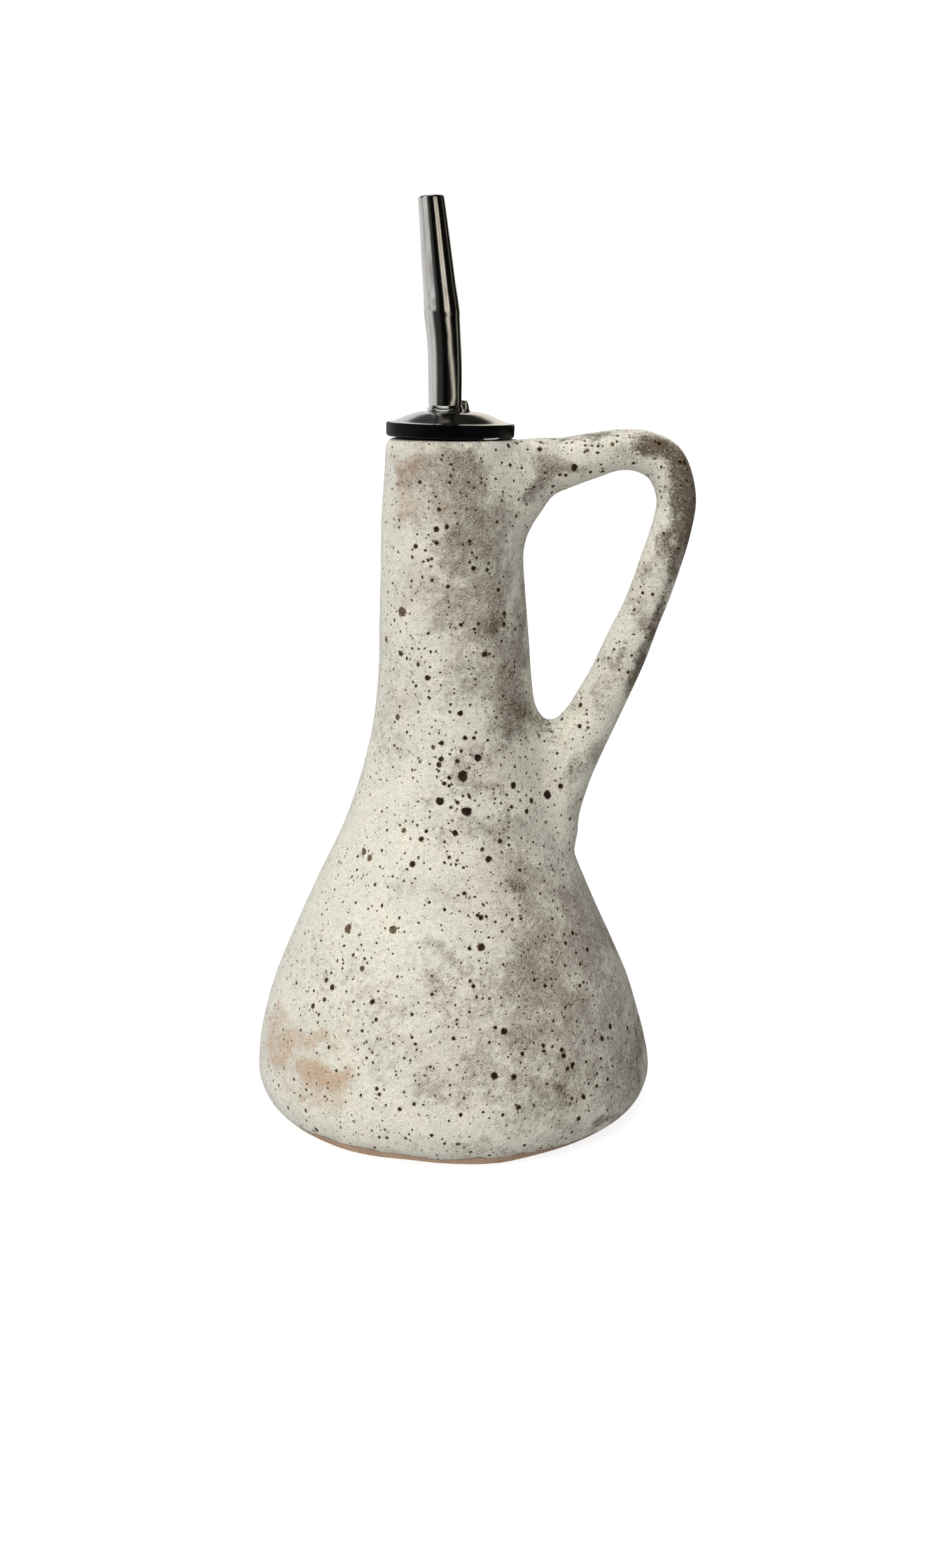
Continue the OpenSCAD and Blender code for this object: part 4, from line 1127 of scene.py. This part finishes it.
# Large soft light high at the front.
high = w.mul(w.mul(w.step(level, 46.0, 54.0), w.step(level, 84.0, 76.0)), w.step(w.math("ABSOLUTE", w.add(azimuth, 30.0)), 72.0, 50.0))
bright = w.add(w.mul(window, 0.88), w.add(w.mul(strips, 1.15), slim))
bright = w.add(bright, w.add(back, w.mul(high, 1.0)))
bright = w.add(bright, 0.004)
bright = w.math("MAXIMUM", bright, w.step(level, -28.0, -42.0, 0.0, 0.40))
gloss_col = w.mix(w.step(azimuth, -20.0, 20.0), (0.96, 0.97, 1.0), (1.0, 0.95, 0.84))
gloss = w.node("ShaderNodeBackground")
w.put(gloss.inputs["Color"], gloss_col)
w.put(gloss.inputs["Strength"], bright)
soft = w.node("ShaderNodeBackground")
w.put(soft.inputs["Color"], (1.0, 1.0, 1.0))
sky = w.add(w.line(dx, -1.0, 1.0, 0.31, 0.20), w.add(w.step(level, 10.0, -20.0, 0.0, 0.24), w.step(level, -15.0, -60.0, 0.0, 0.30)))
sky = w.add(sky, w.add(w.mul(w.math("MAXIMUM", dz, 0.0), 0.42), w.step(dy, 0.3, 1.0, 0.0, 0.26)))
w.put(soft.inputs["Strength"], sky)
plain = w.node("ShaderNodeBackground")
w.put(plain.inputs["Color"], (1.0, 1.0, 1.0))
w.put(plain.inputs["Strength"], 1.0)
rays = w.node("ShaderNodeLightPath")
m1 = w.node("ShaderNodeMixShader")
w.put(m1.inputs[0], rays.outputs["Is Glossy Ray"])
w.t.links.new(soft.outputs[0], m1.inputs[1])
w.t.links.new(gloss.outputs[0], m1.inputs[2])
m2 = w.node("ShaderNodeMixShader")
w.put(m2.inputs[0], rays.outputs["Is Camera Ray"])
w.t.links.new(m1.outputs[0], m2.inputs[1])
w.t.links.new(plain.outputs[0], m2.inputs[2])
world_out = w.node("ShaderNodeOutputWorld")
w.t.links.new(m2.outputs[0], world_out.inputs["Surface"])


def sun(name, azimuth_deg, height_deg, angle_deg, power, colour):
    """Soft light from a direction: azimuth 0 is the camera's side, negative is to the left."""
    a, e = math.radians(azimuth_deg), math.radians(height_deg)
    d = bpy.data.lights.new(name, "SUN")
    d.energy = power
    d.angle = math.radians(angle_deg)
    d.color = colour
    o = bpy.data.objects.new(name, d)
    back = Vector((math.sin(a) * math.cos(e), -math.cos(a) * math.cos(e), math.sin(e)))
    o.rotation_euler = back.to_track_quat("Z", "Y").to_euler()
    scene.collection.objects.link(o)
    o.visible_glossy = False
    return o


sun("key", -31.0, 47.0, 50.0, 2.09, (1.0, 0.985, 0.955))

scene.view_settings.view_transform = "Standard"
scene.view_settings.look = "None"
scene.view_settings.exposure = 0.0
scene.view_settings.gamma = 1.0
